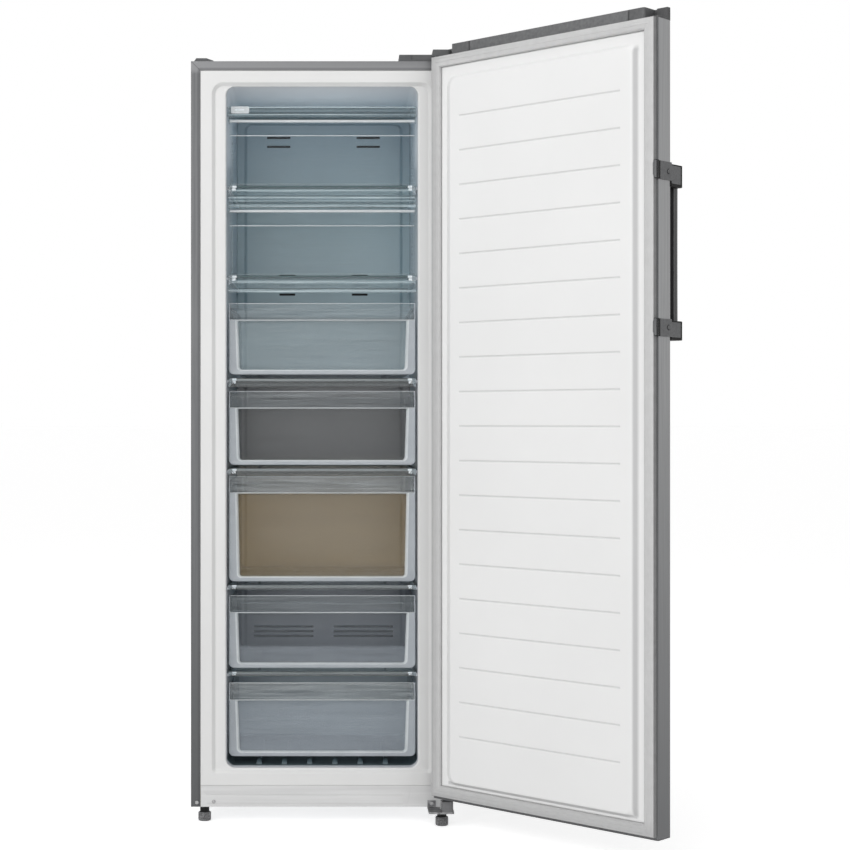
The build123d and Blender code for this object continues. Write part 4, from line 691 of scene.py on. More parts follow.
heaterSteel = makeFinish("heaterSteel", (0.36, 0.36, 0.36), (0.28, 0.27, 0.26), (0.28, 0.44), fine=800,
    broad=40.0, bump=0.08, metallic=1.0)
drawnCopper = makeFinish("drawnCopper", (0.60, 0.27, 0.16), (0.42, 0.17, 0.10), (0.22, 0.42), fine=500,
    broad=40.0, bump=0.08, metallic=1.0)
foamCream = makeFinish("foamCream", (0.72, 0.60, 0.33), (0.62, 0.50, 0.26), (0.75, 0.92), fine=420, broad=20.0,
    bump=0.6, relief=0.0004)
glideGrey = makeFinish("glideGrey", (0.16, 0.16, 0.165), (0.11, 0.11, 0.115), (0.4, 0.6), fine=800, broad=30.0,
    bump=0.25, edge=(0.32, 0.32, 0.32), dust=0.25)
print("finishes made:", len(bpy.data.materials))


# ---- steel case

case = {"halfWidth": 297.5, "depth": 580.0, "low": 37.0, "high": 1729.0, "sheet": 0.8,
        "frontStrip": 21.5, "rearStrip": 18.0, "bend": 1.6}


def makeCase():
    # sheet profile (d inwards, y back) carried up one side, over the top and down the other,
    # mitred where the way turns
    t, r = case["sheet"], case["bend"]
    front, rear, back = case["frontStrip"], case["rearStrip"], case["depth"]
    profile = softOutline(
        [(front, 0), (0, 0), (0, back), (rear, back), (rear, back - t), (t, back - t), (t, t), (front, t)],
        [0.3, r, r, 0.3, 0.3, r - t + 0.1, r - t + 0.1, 0.3],
    )
    w, low, high = case["halfWidth"], case["low"], case["high"]
    stations = [((-w, low), (1, 0)), ((-w, high), (1, -1)), ((w, high), (-1, -1)), ((w, low), (-1, 0))]
    rings = []
    for (x, z), (inX, inZ) in stations:
        rings.append(np.stack([x + inX * profile[:, 0], profile[:, 1], z + inZ * profile[:, 0]], -1))
    return [loft(rings)]


makePiece("caseShell", makeCase(), [caseSteel], "cabinet", ["outer_case"], bevel=1.0, sharp=50)


# ---- inner liner: flange, sloped recess, rounded mouth, cavity with the step behind

liner = {"flange": 275.4, "flangeLow": 86.0, "flangeHigh": 1706.9, "recess": 249.0, "recessLow": 113.5,
         "recessHigh": 1680.0, "depth": 8.0, "cavity": 218.0, "floor": 124.0, "roof": 1673.0,
         "back": 505.0, "corner": 20.0, "lip": 4.0, "stepFront": 313.7, "stepTop": 326.3, "wall": 1.4}


def linerRing(y, x, low, high, top, foot):
    return place(roundedFrame((-x, x), (low, high), [foot, foot, top, top], 8), "y", y)


def makeLiner():
    # one skin through rings (y, half width, floor, roof, upper and lower corner radius)
    s = liner
    x, low, high = s["recess"], s["recessLow"], s["recessHigh"]
    side, foot, top = s["flange"], s["flangeLow"], s["flangeHigh"]
    hidden = (side + 2.2, foot - 0.5, top + 2.0, 1.6, 1.6)
    stations = [
        (3.2, *hidden), (1.3, *hidden),
        (1.1, side + 0.2, foot - 0.1, top + 0.2, 1.6, 1.6),
        (0.9, side, foot, top, 1.6, 1.6),
        (0.25, side - 0.25, foot + 0.25, top - 0.25, 1.6, 1.6),
        (0.0, side - 0.9, foot + 0.9, top - 0.9, 1.6, 1.6),
        (0.0, x + 2.0, low - 2.0, high + 2.0, 27.0, 11.0),
        (0.3, x + 0.8, low - 0.8, high + 0.8, 25.8, 9.8),
        (1.4, x - 0.4, low + 0.4, high - 0.4, 24.6, 8.6),
        (6.4, x - 5.2, low + 5.2, high - 5.2, 20.0, 4.2),
        (7.5, x - 6.3, low + 6.2, high - 6.3, 19.0, 3.4),
        (8.0, x - 8.0, low + 7.0, high - 7.0, 18.4, 3.0),
    ]
    # quarter circles: the mouth's lip, the foot and the head of the step, and the corner at the back
    x, low, high, corner = s["cavity"], s["floor"], s["roof"], s["corner"]
    for turn in np.linspace(0, math.pi / 2, 7):
        out, back = s["lip"] * (1 - math.sin(turn)), s["lip"] * (1 - math.cos(turn))
        radius = corner + 0.6 * out
        stations.append((s["depth"] + back, x + out, low - 3.0 * (1 - math.sin(turn)), high, radius, radius))
    turns = np.linspace(0, math.pi / 2, 6)
    front, step, back = s["stepFront"], s["stepTop"], s["back"]
    for turn in turns:
        rise = 1 - math.cos(turn)
        stations.append((front - 20 * (1 - math.sin(turn)), x, low + 20 * rise, high, corner, corner))
    for turn in turns:
        rise = 1 - math.cos(turn)
        stations.append((front + 1 + 12 * rise, x, step - 12 * (1 - math.sin(turn)), high, corner,
                         corner - 24 * turn / math.pi))
    for turn in turns:
        rise = 1 - math.cos(turn)
        stations.append((back - 14 * (1 - math.sin(turn)), x - 14 * rise, step + 6 * rise, high - 14 * rise,
                         corner - 16 * turn / math.pi, 8.0))
    return loft([linerRing(*station) for station in stations], openEnds=(True, False))


shelf = {"halfWidth": 215.0, "front": 42.0, "back": 431.0, "thick": 4.0,
         "tops": [1452.0, 1246.0, 1010.6, 803.5, 536.7, 338.3]}
ledges = {"rail": (210.0, 218.6), "drop": 7.0, "ribs": 6, "pitch": 58.0, "ribFoot": 123.0, "ribEnd": 313.9,
          "ramp": [(52.0, 125.0), (54.5, 129.0), (58.0, 132.6), (63.0, 135.0), (70.0, 136.0)]}


def makeLedges():
    # rounded rails under the glass, and ribs on the floor that ramp up at their front ends
    parts = []
    for top in shelf["tops"]:
        under = top - shelf["thick"]
        for x in mirrored(*ledges["rail"]):
            z = (under - ledges["drop"], under)
            parts.append(bar(x, z, 1.6, "y", (shelf["front"], shelf["back"]), round=1.5))
    full, ribTop = ledges["ramp"][-1]
    for index in range(ledges["ribs"]):
        middle = (index - (ledges["ribs"] - 1) / 2) * ledges["pitch"]
        rings = []
        for y, high in ledges["ramp"] + [(ledges["ribEnd"], ribTop)]:
            half = 3.0 + 3.0 * min(1.0, max(0.0, (full - y) / 16.0))
            x, z = (middle - half, middle + half), (ledges["ribFoot"], high)
            rings.append(place(roundedFrame(x, z, [0.2, 0.2, 0.7, 0.7], 3), "y", y))
        parts.append(loft(rings))
    return parts


makePiece("linerShell", [makeLiner()], [linerWhite], "cabinet", ["inner_liner"],
          wall=liner["wall"], facing=(0, -1, 0))
makePiece("linerRails", makeLedges(), [linerWhite], "cabinet")
print("case and liner made")


# ---- moulded rear wall with its air duct and slots

rear = {"halfWidth": 217.6, "low": 326.6, "high": 1671.0, "duct": 432.0, "slot": 5.6, "slotDepth": 4.0,
        # slots: level, distance from the middle, length
        "rows": [(1624.4, 112.5, 59.0), (1602.0, 112.5, 59.0), (1277.8, 91.0, 40.0), (1230.4, 91.0, 40.0),
                 (372.0, 100.0, 150.0), (384.0, 100.0, 150.0), (396.0, 100.0, 150.0)],
        # the plate's edge and the slope up to the duct: y, inset, upper and lower corner radius
        "rings": [(440.4, 0.0, 20.0, 3.0), (439.4, 0.0, 20.0, 3.0), (438.4, 0.4, 19.6, 2.8),
                  (438.0, 1.6, 18.4, 2.4), (438.0, 17.0, 19.0, 12.0), (437.6, 19.0, 18.0, 12.0),
                  (436.4, 20.8, 17.0, 12.0), (433.6, 23.4, 15.0, 11.0), (432.4, 25.0, 14.0, 10.0),
                  (432.0, 27.5, 12.0, 9.0)]}


def makeRearWall():
    # plate, soft slope up to the duct, then a flat face pierced by the slots
    rings = []
    for y, inset, radius, foot in rear["rings"]:
        x = rear["halfWidth"] - inset
        z = (rear["low"] + inset * 0.6, rear["high"] - inset * 0.6)
        rings.append(place(roundedFrame((-x, x), z, [foot, foot, radius, radius], 8), "y", y))
    parts = [loft(rings, openEnds=(False, True))]
    loops = [rings[-1]]
    for level, offset, length in rear["rows"]:
        z = (level - rear["slot"] / 2, level + rear["slot"] / 2)
        for x in mirrored(offset - length / 2, offset + length / 2):
            mouth = place(roundedFrame(x, z, 1.6, 3), "y", rear["duct"])
            deep = mouth + np.array([0, rear["slotDepth"], 0])
            loops.append(mouth)
            parts.append(loft([mouth, deep], openEnds=(True, False), finish=1))
    parts.append(patch(loops))
    return parts


makePiece("rearWallDuct", makeRearWall(), [rearWall, slotDark], "cabinet", ["evaporator_cover"])


# ---- glass shelves and their front mouldings

def makeGlass():
    # plates with rounded corners: clear faces, dark green ground edges
    s = shelf
    outline = roundedFrame((-s["halfWidth"], s["halfWidth"]), (s["front"], s["back"]), 5.0, 4)
    middle = outline.mean(0)
    inner = middle + (outline - middle) * (1 - 1.2 / np.abs(outline - middle).max(0))
    parts = []
    for top in s["tops"]:
        rings = [(inner, s["thick"]), (outline, s["thick"] - 0.6), (outline, 0.6), (inner, 0.0)]
        points, faces, finishes = loft([place(ring, "z", top - drop) for ring, drop in rings], finish=1)
        finishes[-1] = finishes[-2] = 0
        parts.append((points, faces, finishes))
    return parts


makePiece("glassPlates", makeGlass(), [glassClear, glassEdge], "cabinet", ["shelf_glasses"])

ears = {"span": (212.1, 215.0), "y": (39.0, 50.0), "radii": [3, 3, 1, 1]}


def makeEars(low, high):
    # ears at both ends that hold the pins of a flap
    outline = roundedFrame(ears["y"], (low, high), ears["radii"], 4)
    return [carry(outline, "x", span) for span in mirrored(*ears["span"])]


trims = {"heights": [54.0, 39.0, 20.5, 14.5, 10.5, 10.5], "front": 38.0, "thick": 4.0, "glassShows": 3.2,
         "halfLength": 214.4, "depth": (0.5, 0.0, 0.9), "clip": 18.0, "tongue": 22.0, "ears": (1387.7, 1400.0)}
# each moulding's bands from the top down: where a band ends, and 0 plain, 1 painted highlight, 2 painted shade (the
# third's top band is the dark glass edge)
trims["bands"] = [
    [(4.5, 0), (9.5, 2), (14.0, 1), (23.0, 0), (26.0, 2), (30.0, 1), (35.0, 0), (37.0, 1), (44.0, 2), (50.0, 1),
     (54.0, 0)],
    [(4.5, 0), (10.5, 2), (12.5, 0), (18.5, 1), (32.5, 0), (39.0, 1)],
    [(2.0, 2), (7.5, 1), (12.0, 2), (18.0, 0), (20.5, 2)],
    [(6.0, 1), (8.5, 0), (12.5, 2), (14.5, 0)],
    [(7.0, 1), (10.5, 0)],
    [(6.5, 1), (10.5, 0)]]
clips = {"toothOuter": 214.8, "toothInner": 206.0, "toothLean": 205.6, "toothFoot": 211.5, "toothY": (35.4, 40.5),
         "glintSpan": (206.5, 214.0), "glintY": (36.4, 40.0), "glintDrop": 12.5, "shadeBeadY": (35.8, 40.0)}


def makeTrim(index):
    # profile (y, z): stepped front wall and a foot under the glass, carried across
    top, height = shelf["tops"][index], trims["heights"][index]
    bottom = top - height
    front, back = trims["front"], trims["front"] + trims["thick"]
    face, limits, choices = steppedFace(front, top, trims["bands"][index], trims["depth"])
    if index < 2:
        face[0] = (face[0][0], top - trims["glassShows"])
    profile = [(back, face[0][1])] + face + [(back, bottom), (back, top - 6.4), (front + 14, top - 6.4),
                                             (front + 14, top - 4.1), (back, top - 4.1)]
    outline = softOutline(profile, [0.3] + [0.12] * len(face) + [0.3, 0.3, 0.6, 0.3, 0.3], 2)
    length = (-trims["halfLength"], trims["halfLength"])
    parts = [finishByHeight(carry(outline, "x", length), limits, choices)]
    # end clips: a tooth beside the glass with a sloping inner side, two bright fingers on it one above the other as
    # painted glints, and on the low mouldings a painted shadow line where the tooth leans away
    reach = min(trims["tongue"], height)
    drop = min(clips["glintDrop"], reach * 0.8)
    outer, inner, lean, foot = (clips["tooth" + end] for end in ("Outer", "Inner", "Lean", "Foot"))
    for side in (-1, 1):
        tooth = [(outer, top - reach), (outer, top - 0.6), (inner, top - 0.6), (lean, top - reach * 0.45),
                 (foot, top - reach)]
        tooth = softOutline([(side * x, z) for x, z in tooth][::side], 1.2, 4)
        parts.append(carry(tooth, "y", clips["toothY"], finish=4, round=0.8))
        near, far = clips["glintSpan"]
        for upper, lower, long in ((0.04, 0.48, trims["clip"]), (0.54, 1.0, trims["clip"] - 2.0)):
            x, z = sorted((side * (far - long), side * near)), (top - drop * lower, top - drop * upper)
            parts.append(bar(x, z, 1.1, "y", clips["glintY"], finish=3, round=0.7, steps=4))
        if index > 1:
            shadeBead = [(209.5, top - 3), (207.6, top - 3), (197.0, bottom + 0.4), (199.5, bottom + 0.4)]
            shadeBead = softOutline([(side * x, z) for x, z in shadeBead][::side], 0.3, 2)
            parts.append(carry(shadeBead, "y", clips["shadeBeadY"], finish=2, round=0.3))
    return parts + (makeEars(*trims["ears"]) if index == 0 else [])


for index in range(len(shelf["tops"])):
    finishes = [trimClear, trimHighlight, trimShade] if index < 2 else [sillMid, sillHighlight, sillShade]
    makePiece(f"shelfTrim{index + 1}", makeTrim(index), finishes + [clipGlint, toothClear], "cabinet",
              [f"shelf_trim_{index + 1}"])


# ---- crossbar over the upper flap

rail = {"low": 1606.0, "high": 1634.0, "front": 38.0, "back": 52.0, "wall": 2.5, "depth": (0.5, 0.0, 1.0),
        "halfLength": 214.6, "ends": (209.0, 215.0), "arms": (201.0, 218.0), "ears": (1594.2, 1607.0),
        "glintPad": (-209.0, -167.0), "glintRidge": (-200.0, -178.0),
        "bands": [(1.5, 0), (5.0, 1), (8.0, 2), (14.0, 0), (18.5, 2), (21.5, 1), (25.0, 0), (28.0, 2)]}


def makeRail():
    # hollow section open at the back, its face in stepped bands, between solid ends
    low, high, front, back, wall = (rail[key] for key in ("low", "high", "front", "back", "wall"))
    face, limits, choices = steppedFace(front, high, rail["bands"], rail["depth"])
    inner = front + wall + 0.1
    profile = face + [(back, low), (back, low + wall), (inner, low + wall), (inner, high - wall),
                      (back, high - wall), (back, high)]
    outline = softOutline(profile, [0.12] * len(face) + [0.6] * 6, 2)
    length = (-rail["halfLength"], rail["halfLength"])
    parts = [finishByHeight(carry(outline, "x", length), limits, choices)]
    for x in mirrored(*rail["ends"]):
        parts.append(bar((front - 0.2, back), (low + 0.4, high - 0.4), 2.0, "x", x, round=1.2, steps=4))
    # painted highlight: a frosted pad with a raised bright rim at the left end, where light glints on the rail
    glintPad = carry(roundedFrame(rail["glintPad"], (high - 17.5, high - 1.0), [3, 4, 4, 3], 5), "y",
                (front - 0.6, front + 2), finish=4, round=0.8)
    glintRidge = bar(rail["glintRidge"], (high - 10.5, high - 7.5), 1.2, "y", (front - 1.3, front), 3, 0.5, 4)
    arms = [bar((42, back), (low + 6, high - 2), 1.0, "x", x) for x in mirrored(*rail["arms"])]
    return parts + [glintPad, glintRidge] + arms + makeEars(*rail["ears"])


makePiece("flapRail", makeRail(), [trimClear, trimHighlight, trimShade, clipGlint, edgeHighlight], "cabinet", ["flap_rail"])


# ---- flip-up flaps

flaps = {"halfWidth": 212.0, "axisY": 44.0, "axes": [1600.1, 1393.6], "lows": [1453.2, 1247.2], "barrel": 3.4,
         "bandDrop": 38.0, "edge": (205.0, 207.0), "pin": 2.3, "paneFront": 43.0, "bandFront": 41.0,
         "paneBack": 46.0, "barrelY": (40.6, 47.4), "lipY": (38.0, 46.0), "lip": 3.0, "ridgeY": (40.4, 42.0),
         "edgeY": (42.4, 44.0)}


def makeFlap(axisZ, low):
    # profile (y, z): barrel at the pin line, thicker band below it, thin pane, lip at the foot
    f = flaps
    top, lip = axisZ + f["barrel"], low + f["lip"]
    band = top - f["bandDrop"]
    head, foot = axisZ - 3.2, lip + 0.2
    pane, front, back = f["paneFront"], f["bandFront"], f["paneBack"]
    outline = softOutline([(pane, foot), (pane, band), (front, band), (front, head), (back, head), (back, foot)],
                          [0.4, 0.3, 0.5, 0.4, 0.4, 0.4], 3)
    x = f["halfWidth"]
    across, within = (-x, x), (-x + 1, x - 1)
    # the barrel and the ridge take the bright edge finish, a painted highlight
    parts = [carry(outline, "x", across),
             bar(f["barrelY"], (axisZ - 3.3, top), 3.2, "x", across, finish=1, round=0.8, steps=6),
             bar(f["lipY"], (low, lip), 1.2, "x", across, finish=2, steps=4),
             bar(f["ridgeY"], (band - 0.2, band + 1.5), 0.6, "x", within, finish=1)]
    for edge in mirrored(*f["edge"]):
        parts.append(bar(edge, (lip, band), 0.6, "y", f["edgeY"], finish=2, steps=2))
    pin = circle((f["axisY"], axisZ), f["pin"], 20)
    return parts + [carry(pin, "x", span, finish=2) for span in mirrored(x - 1, x + 3.1)]


for word, axisZ, low in zip(("Upper", "Lower"), flaps["axes"], flaps["lows"]):
    makePiece(f"flap{word}", makeFlap(axisZ, low), [paneClear, edgeHighlight, bandClear], f"flap_{word.lower()}_body",
              [f"flap_{word.lower()}"])


# ---- drawers

drawers = {"halfWidth": 213.8, "front": 38.0, "back": 50.0, "bar": 21.0, "sill": 12.0, "bandDrop": 38.0,
           "slope": 8.0, "step": 22.0, "corner": 12.0, "windowCorner": 6.0, "lean": 4.0, "tub": 207.8, "wall": 2.5,
           "lows": [1018.5, 811.4, 544.6, 346.2, 143.9], "highs": [1182.4, 981.0, 786.3, 512.0, 311.9],
           "ends": [425.0, 425.0, 425.0, 425.0, 307.7], "skids": [1010.9, 803.8, 537.0, 338.6, 136.3],
           "skidSpan": (142.0, 148.0), "skidFront": 66.0, "tubFront": 50.2, "tubDrop": 10.0, "rim": 5.0,
           "rimDrop": 3.0, "tubCorner": 14.0}


def makeDrawerFront(low, high):
    # one loft from the back of the pane round the frame and in to the pane's face
    s = drawers
    band = high - s["bandDrop"]
    x = s["halfWidth"]

    def outer(y, inset):
        loop = roundedFrame((-x + inset, x - inset), (low + inset, band - inset * 0.2),
                            [s["corner"] - inset, s["corner"] - inset, 0.6, 0.6], 6)
        return place(loop, "y", y)

    def window(y, grow):
        # the clear window, its sides leaning in a little towards the foot
        lean = s["lean"]
        foot, head = x - s["bar"] + grow - lean, x - s["bar"] + grow
        z = (low + s["sill"] - grow * 0.5, band - 3 + grow * 0.4)
        radius = s["windowCorner"] + grow * 0.6
        return place(softOutline([(-foot, z[0]), (foot, z[0]), (head, z[1]), (-head, z[1])],
                                 [radius, radius, 2.0, 2.0], 6), "y", y)

    rings = [window(50, 0), outer(50, 0), outer(41.5, 0), outer(39.4, 0.35), outer(38.4, 1.1), outer(38, 2.4),
             window(38, 6.5), window(38.5, 4.6), window(40, 2.4), window(43, 0.8), window(47, 0)]
    points, faces, finishes = loft(rings, finish=0)
    count = len(rings[0])
    # painted highlight: the slope into the window takes the brighter edge finish
    finishes[6 * count:10 * count] = [3] * (4 * count)
    finishes[-1] = finishes[-2] = 1
    parts = [(points, faces, finishes)]
    # sloped grip across the top, clear between the solid ends with their pale outer edges
    front = s["front"]
    grip = softOutline([(front + 0.4, band + 0.1), (front + s["slope"], high), (50, high), (50, band + 0.1)],
                       [0.3, 0.8, 0.8, 0.3], 3)
    middle = x - s["bar"]
    parts.append(carry(grip, "x", (-middle, middle), finish=2))
    for end, edge in zip(mirrored(middle, x - 2.4), mirrored(x - 2.4, x - 0.4)):
        parts.append(carry(grip - np.array([0.2, 0]), "x", end, finish=2))
        parts.append(carry(grip - np.array([0.3, 0]), "x", edge, finish=0, round=0.4))
    # painted highlights: thin bright lines along the grip's two edges
    for y, level in ((front + 0.5, band - 0.5), (front + s["slope"] + 0.6, high - 0.5)):
        parts.append(bar((y - 1.0, y + 0.6), (level - 0.6, level + 0.7), 0.5, "x", (-x + 1.5, x - 1.5), 3))
    y, level = front + s["slope"] * s["step"] / s["bandDrop"], high - 16.6
    step = softOutline([(y - 0.5, level), (y - 0.4, level + 0.8), (y + 1, level + 0.8), (y + 1, level)], 0.2, 2)
    parts.append(carry(step, "x", (-middle + 4, middle - 4), finish=2))
    return parts


def makeTub(low, high, end, skid):
    # U section (x, z) with out-turned rims carried back, a plate across its rear end, two skids
    s = drawers
    w, t, top = s["tub"], s["wall"], high - s["tubDrop"]
    rim, under, corner = w + s["rim"], top - s["rimDrop"], s["tubCorner"]
    right = [(w, low + 0.2), (w, under), (rim, under), (rim, top), (w - t, top), (w - t, low + t)]
    radii = [corner, 0.6, 0.6, 0.6, 0.6, corner - t]
    channel = softOutline(right + [(-x, z) for x, z in right[::-1]], radii + radii[::-1], 5)
    parts = [finishByHeight(carry(channel, "y", (s["tubFront"], end - 1.0)), [low + 5.0], [5, 4])]
    parts.append(bar((-w + 1, w - 1), (low + 1.4, top), [13, 13, 1, 1], "y", (end - t, end), 4, steps=5))
    for x in mirrored(*s["skidSpan"]):
        parts.append(bar(x, (skid, low + 1), 0.8, "y", (s["skidFront"], end - 28), 4, 0.8, steps=2))
    return parts


for number, (low, high, end, skid) in enumerate(
        zip(drawers["lows"], drawers["highs"], drawers["ends"], drawers["skids"])):
    parts = makeDrawerFront(low, high) + makeTub(low, high, end, skid)
    band = bandHazy if number in (2, 4) else bandClear
    finishes = [barFrosted, windowClear[number], band, edgeHighlight, tubClear, tubFloor]
    node = f"drawer_{number + 1}"
    makePiece(f"drawerBox{number + 1}", parts, finishes, node + "_body", [node])
print("shelves, flaps and drawers made")


# ---- door, drawn shut and swung open by makePiece

door = {"halfWidth": 296.0, "outer": -59.7, "inner": -14.7, "low": 69.5, "high": 1726.0, "edge": 11.0, "sheet": 0.8}


def makeDoorShell():
    # C section (x, y) with returned edges, carried up the door
    x, o, i, t = door["halfWidth"], door["outer"], door["inner"], door["sheet"]
    e = x - door["edge"]
    corners = [(-e, i), (-x, i), (-x, o), (x, o), (x, i), (e, i), (e, i - t), (x - t, i - t), (x - t, o + t),
               (-x + t, o + t), (-x + t, i - t), (-e, i - t)]
    radii = [0.3, 3.0, 3.0, 3.0, 3.0, 0.3, 0.3, 2.2, 2.2, 2.2, 2.2, 0.3]
    outline = softOutline(corners, radii, 6)
    points, faces, finishes = carry(outline, "z", (door["low"] + 4, door["high"] - 4))
    # painted shade: the edge returned round the seal takes a darker copy of the side's steel, as it lies in shade
    middles = np.array([points[face].mean(0) for face in faces])
    returned = (middles[:, 1] > i - 1.6) & (np.abs(middles[:, 0]) < x)
    return [(points, faces, [int(k) for k in returned])]


makePiece("doorShell", makeDoorShell(), [doorSteel, lipShadedSteel], "door", ["door_skin"], door=True)

panel = {"halfWidth": 240.0, "low": 115.0, "high": 1668.0, "corner": 18.0, "face": -3.0, "wall": 1.4,
         # the flat under the seal and its raised lip: y, half width, floor, roof, corner radius
         "hem": [(-14.0, 284.6, 82.7, 1712.8, 0.5), (-14.0, 268.0, 101.5, 1698.5, 1.2),
                 (-13.6, 267.2, 102.3, 1697.7, 1.2), (-11.6, 267.0, 102.5, 1697.5, 1.2),
                 (-10.9, 266.6, 102.9, 1697.1, 1.2), (-10.7, 265.8, 103.7, 1696.3, 1.2)],
         # the slope up to the face: y, and what the sides, floor, roof and corner radius lie outside the face
         "slope": [(-10.7, 14.0, 8.0, 9.0, 8.0), (-10.3, 12.0, 6.8, 7.4, 6.8), (-9.2, 9.6, 5.4, 5.8, 5.4),
                   (-7.2, 6.0, 3.4, 3.6, 3.4), (-4.9, 2.0, 1.2, 1.4, 1.4), (-3.8, -0.4, -0.2, -0.2, -0.2),
                   (-3.2, -2.2, -1.6, -1.6, -1.6), (-3.0, -4.2, -3.4, -3.4, -3.2)]}


def makePanel():
    # rings from under the seal up to the panel's face, then a grid whose height follows the grooves
    x, low, high, r = panel["halfWidth"], panel["low"], panel["high"], panel["corner"]
    stations = panel["hem"] + [(y, x + out, low - down, high + up, r + more)
                               for y, out, down, up, more in panel["slope"]]
    rings = [place(roundedFrame((-half, half), (foot, head), radius, 8), "y", y)
             for y, half, foot, head, radius in stations]
    parts = [loft(rings, openEnds=(True, True))]

    # depth of the grooves: a smooth dip, steeper above its deepest line, faded out at both ends
    half, fadeOver = grooves["half"], grooves["fade"]
    ends = np.array([-2, 0, 1.2, 3, 6])
    across = np.concatenate([-half + ends, [-120.0, 0.0, 120.0], half - ends[::-1]])
    offsets = np.array([-6.0, -4.0, -3.2, -2.2, -1.2, 0.0, 0.5, 1.0, 1.5, 2.0, 2.8, 6.0])
    levels = grooves["top"] - grooves["pitch"] * np.arange(grooves["count"])[::-1]
    rows = (levels[:, None] + offsets[None, :]).ravel()
    near = np.tile(offsets, grooves["count"])
    lean = np.where(near > 0, near / grooves["above"], near / grooves["below"])
    dip = np.where(np.abs(lean) < 1, np.cos(lean * math.pi / 2) ** 2, 0.0)
    fade = np.sin(np.clip((half - np.abs(across)) / fadeOver, 0.0, 1.0) * math.pi / 2)
    gridX, gridZ = np.meshgrid(across, rows)
    height = panel["face"] - grooves["depth"] * dip[:, None] * fade[None, :]
    points = np.stack([gridX, height, gridZ], -1).reshape(-1, 3)
    n, m = gridX.shape
    k, i = np.arange(n - 1)[:, None] * m, np.arange(m - 1)[None, :]
    quads = np.stack([k + i, k + i + 1, k + m + i + 1, k + m + i], -1).reshape(-1, 4).tolist()
    parts.append((points, quads, [0] * len(quads)))
    index = np.arange(n * m).reshape(n, m)
    rim = np.concatenate([index[0, :], index[1:, -1], index[-1, -2::-1], index[-2:0:-1, 0]])
    parts.append(patch([rings[-1], points[rim]]))
    return parts


makePiece("doorPanel", makePanel(), [panelWhite], "door", ["door_liner"], door=True,
          wall=panel["wall"], facing=(-math.sin(doorAngle), math.cos(doorAngle), 0))

seal = {"halfWidth": 293.0, "low": 76.5, "high": 1723.5, "base": -14.7}


def makeSeal():
    # profile (s inwards, h up) round the door, mitred at the corners: magnet band, fold, inner bellows
    profile = softOutline(
        [(0.6, 0.0), (0.6, 4.0), (1.9, 5.2), (0.3, 6.6), (0.3, 9.6), (1.6, 11.4), (5.2, 11.8), (7.4, 13.4),
         (13.6, 13.4), (14.2, 12.6), (15.0, 12.6), (15.8, 13.2), (20.4, 12.6), (23.4, 11.4), (24.8, 7.0),
         (23.8, 3.4), (24.7, 0.0)],
        [0.2, 0.8, 0.5, 0.8, 0.8, 0.8, 1.2, 1.0, 0.4, 0.2, 0.2, 0.4, 1.0, 1.8, 1.6, 1.0, 0.2], 3)
    corners = [((-1, seal["low"]), (1, 1)), ((1, seal["low"]), (-1, 1)), ((1, seal["high"]), (-1, -1)),
               ((-1, seal["high"]), (1, -1))]
    rings = []
    for (side, z), (inX, inZ) in corners:
        s, h = profile[:, 0], profile[:, 1]
        rings.append(np.stack([side * seal["halfWidth"] + inX * s, seal["base"] + h, z + inZ * s], -1))
    points, faces, finishes = loft(rings, closed=True)
    # painted shade: its outer side takes a darker copy of the seal grey, as it lies in shade; the first five corners
    # of the profile, each of four points
    wall = 5 * 4
    return [(points, faces, [int(k % len(profile) < wall) for k in range(len(faces))])]


makePiece("doorSeal", makeSeal(), [sealGrey, sealShadedSide], "door", ["door_gasket"], door=True, sharp=50)

grip = {"x": (-288.0, -266.0), "y": (-100.7, -86.7), "z": (1082.0, 1429.0), "corner": 4.2}


def makeGrip():
    # rounded section carried up, a touch slimmer in the middle of its length
    levels = np.linspace(grip["z"][0], grip["z"][1], 13)
    outline = roundedFrame(grip["x"], grip["y"], grip["corner"], 6)
    middle = outline.mean(0)
    waist = 1 - 0.03 * np.sin((levels - levels[0]) / (levels[-1] - levels[0]) * math.pi)
    return [loft([place(middle + (outline - middle) * w, "z", level) for w, level in zip(waist, levels)])]


makePiece("gripBar", makeGrip(), [gripBlack], "door", ["handle_bar"], door=True)

brackets = {"side": -298.5, "tops": [1435.0, 1118.0], "heights": [48.0, 42.0], "wraps": [37.0, 36.0],
            "screwDrops": [19.5, 17.2], "screwY": -48.7, "screwRadius": 5.8, "arm": (-101.7, -59.8),
            "reach": -262.0, "plate": (-60.7, -18.8), "bend": (-19.4, -14.0), "face": (-93.0, -60.2),
            "edge": -296.0,
            # the hook on the door's edge, and the black rim round it, a painted shadow: growth, front, finish
            "hooks": [(0.0, -2.2, 0), (1.2, -3.6, 1)], "hookRadii": [0.6, 1.5, 3.0, 3.0, 1.5, 0.6]}


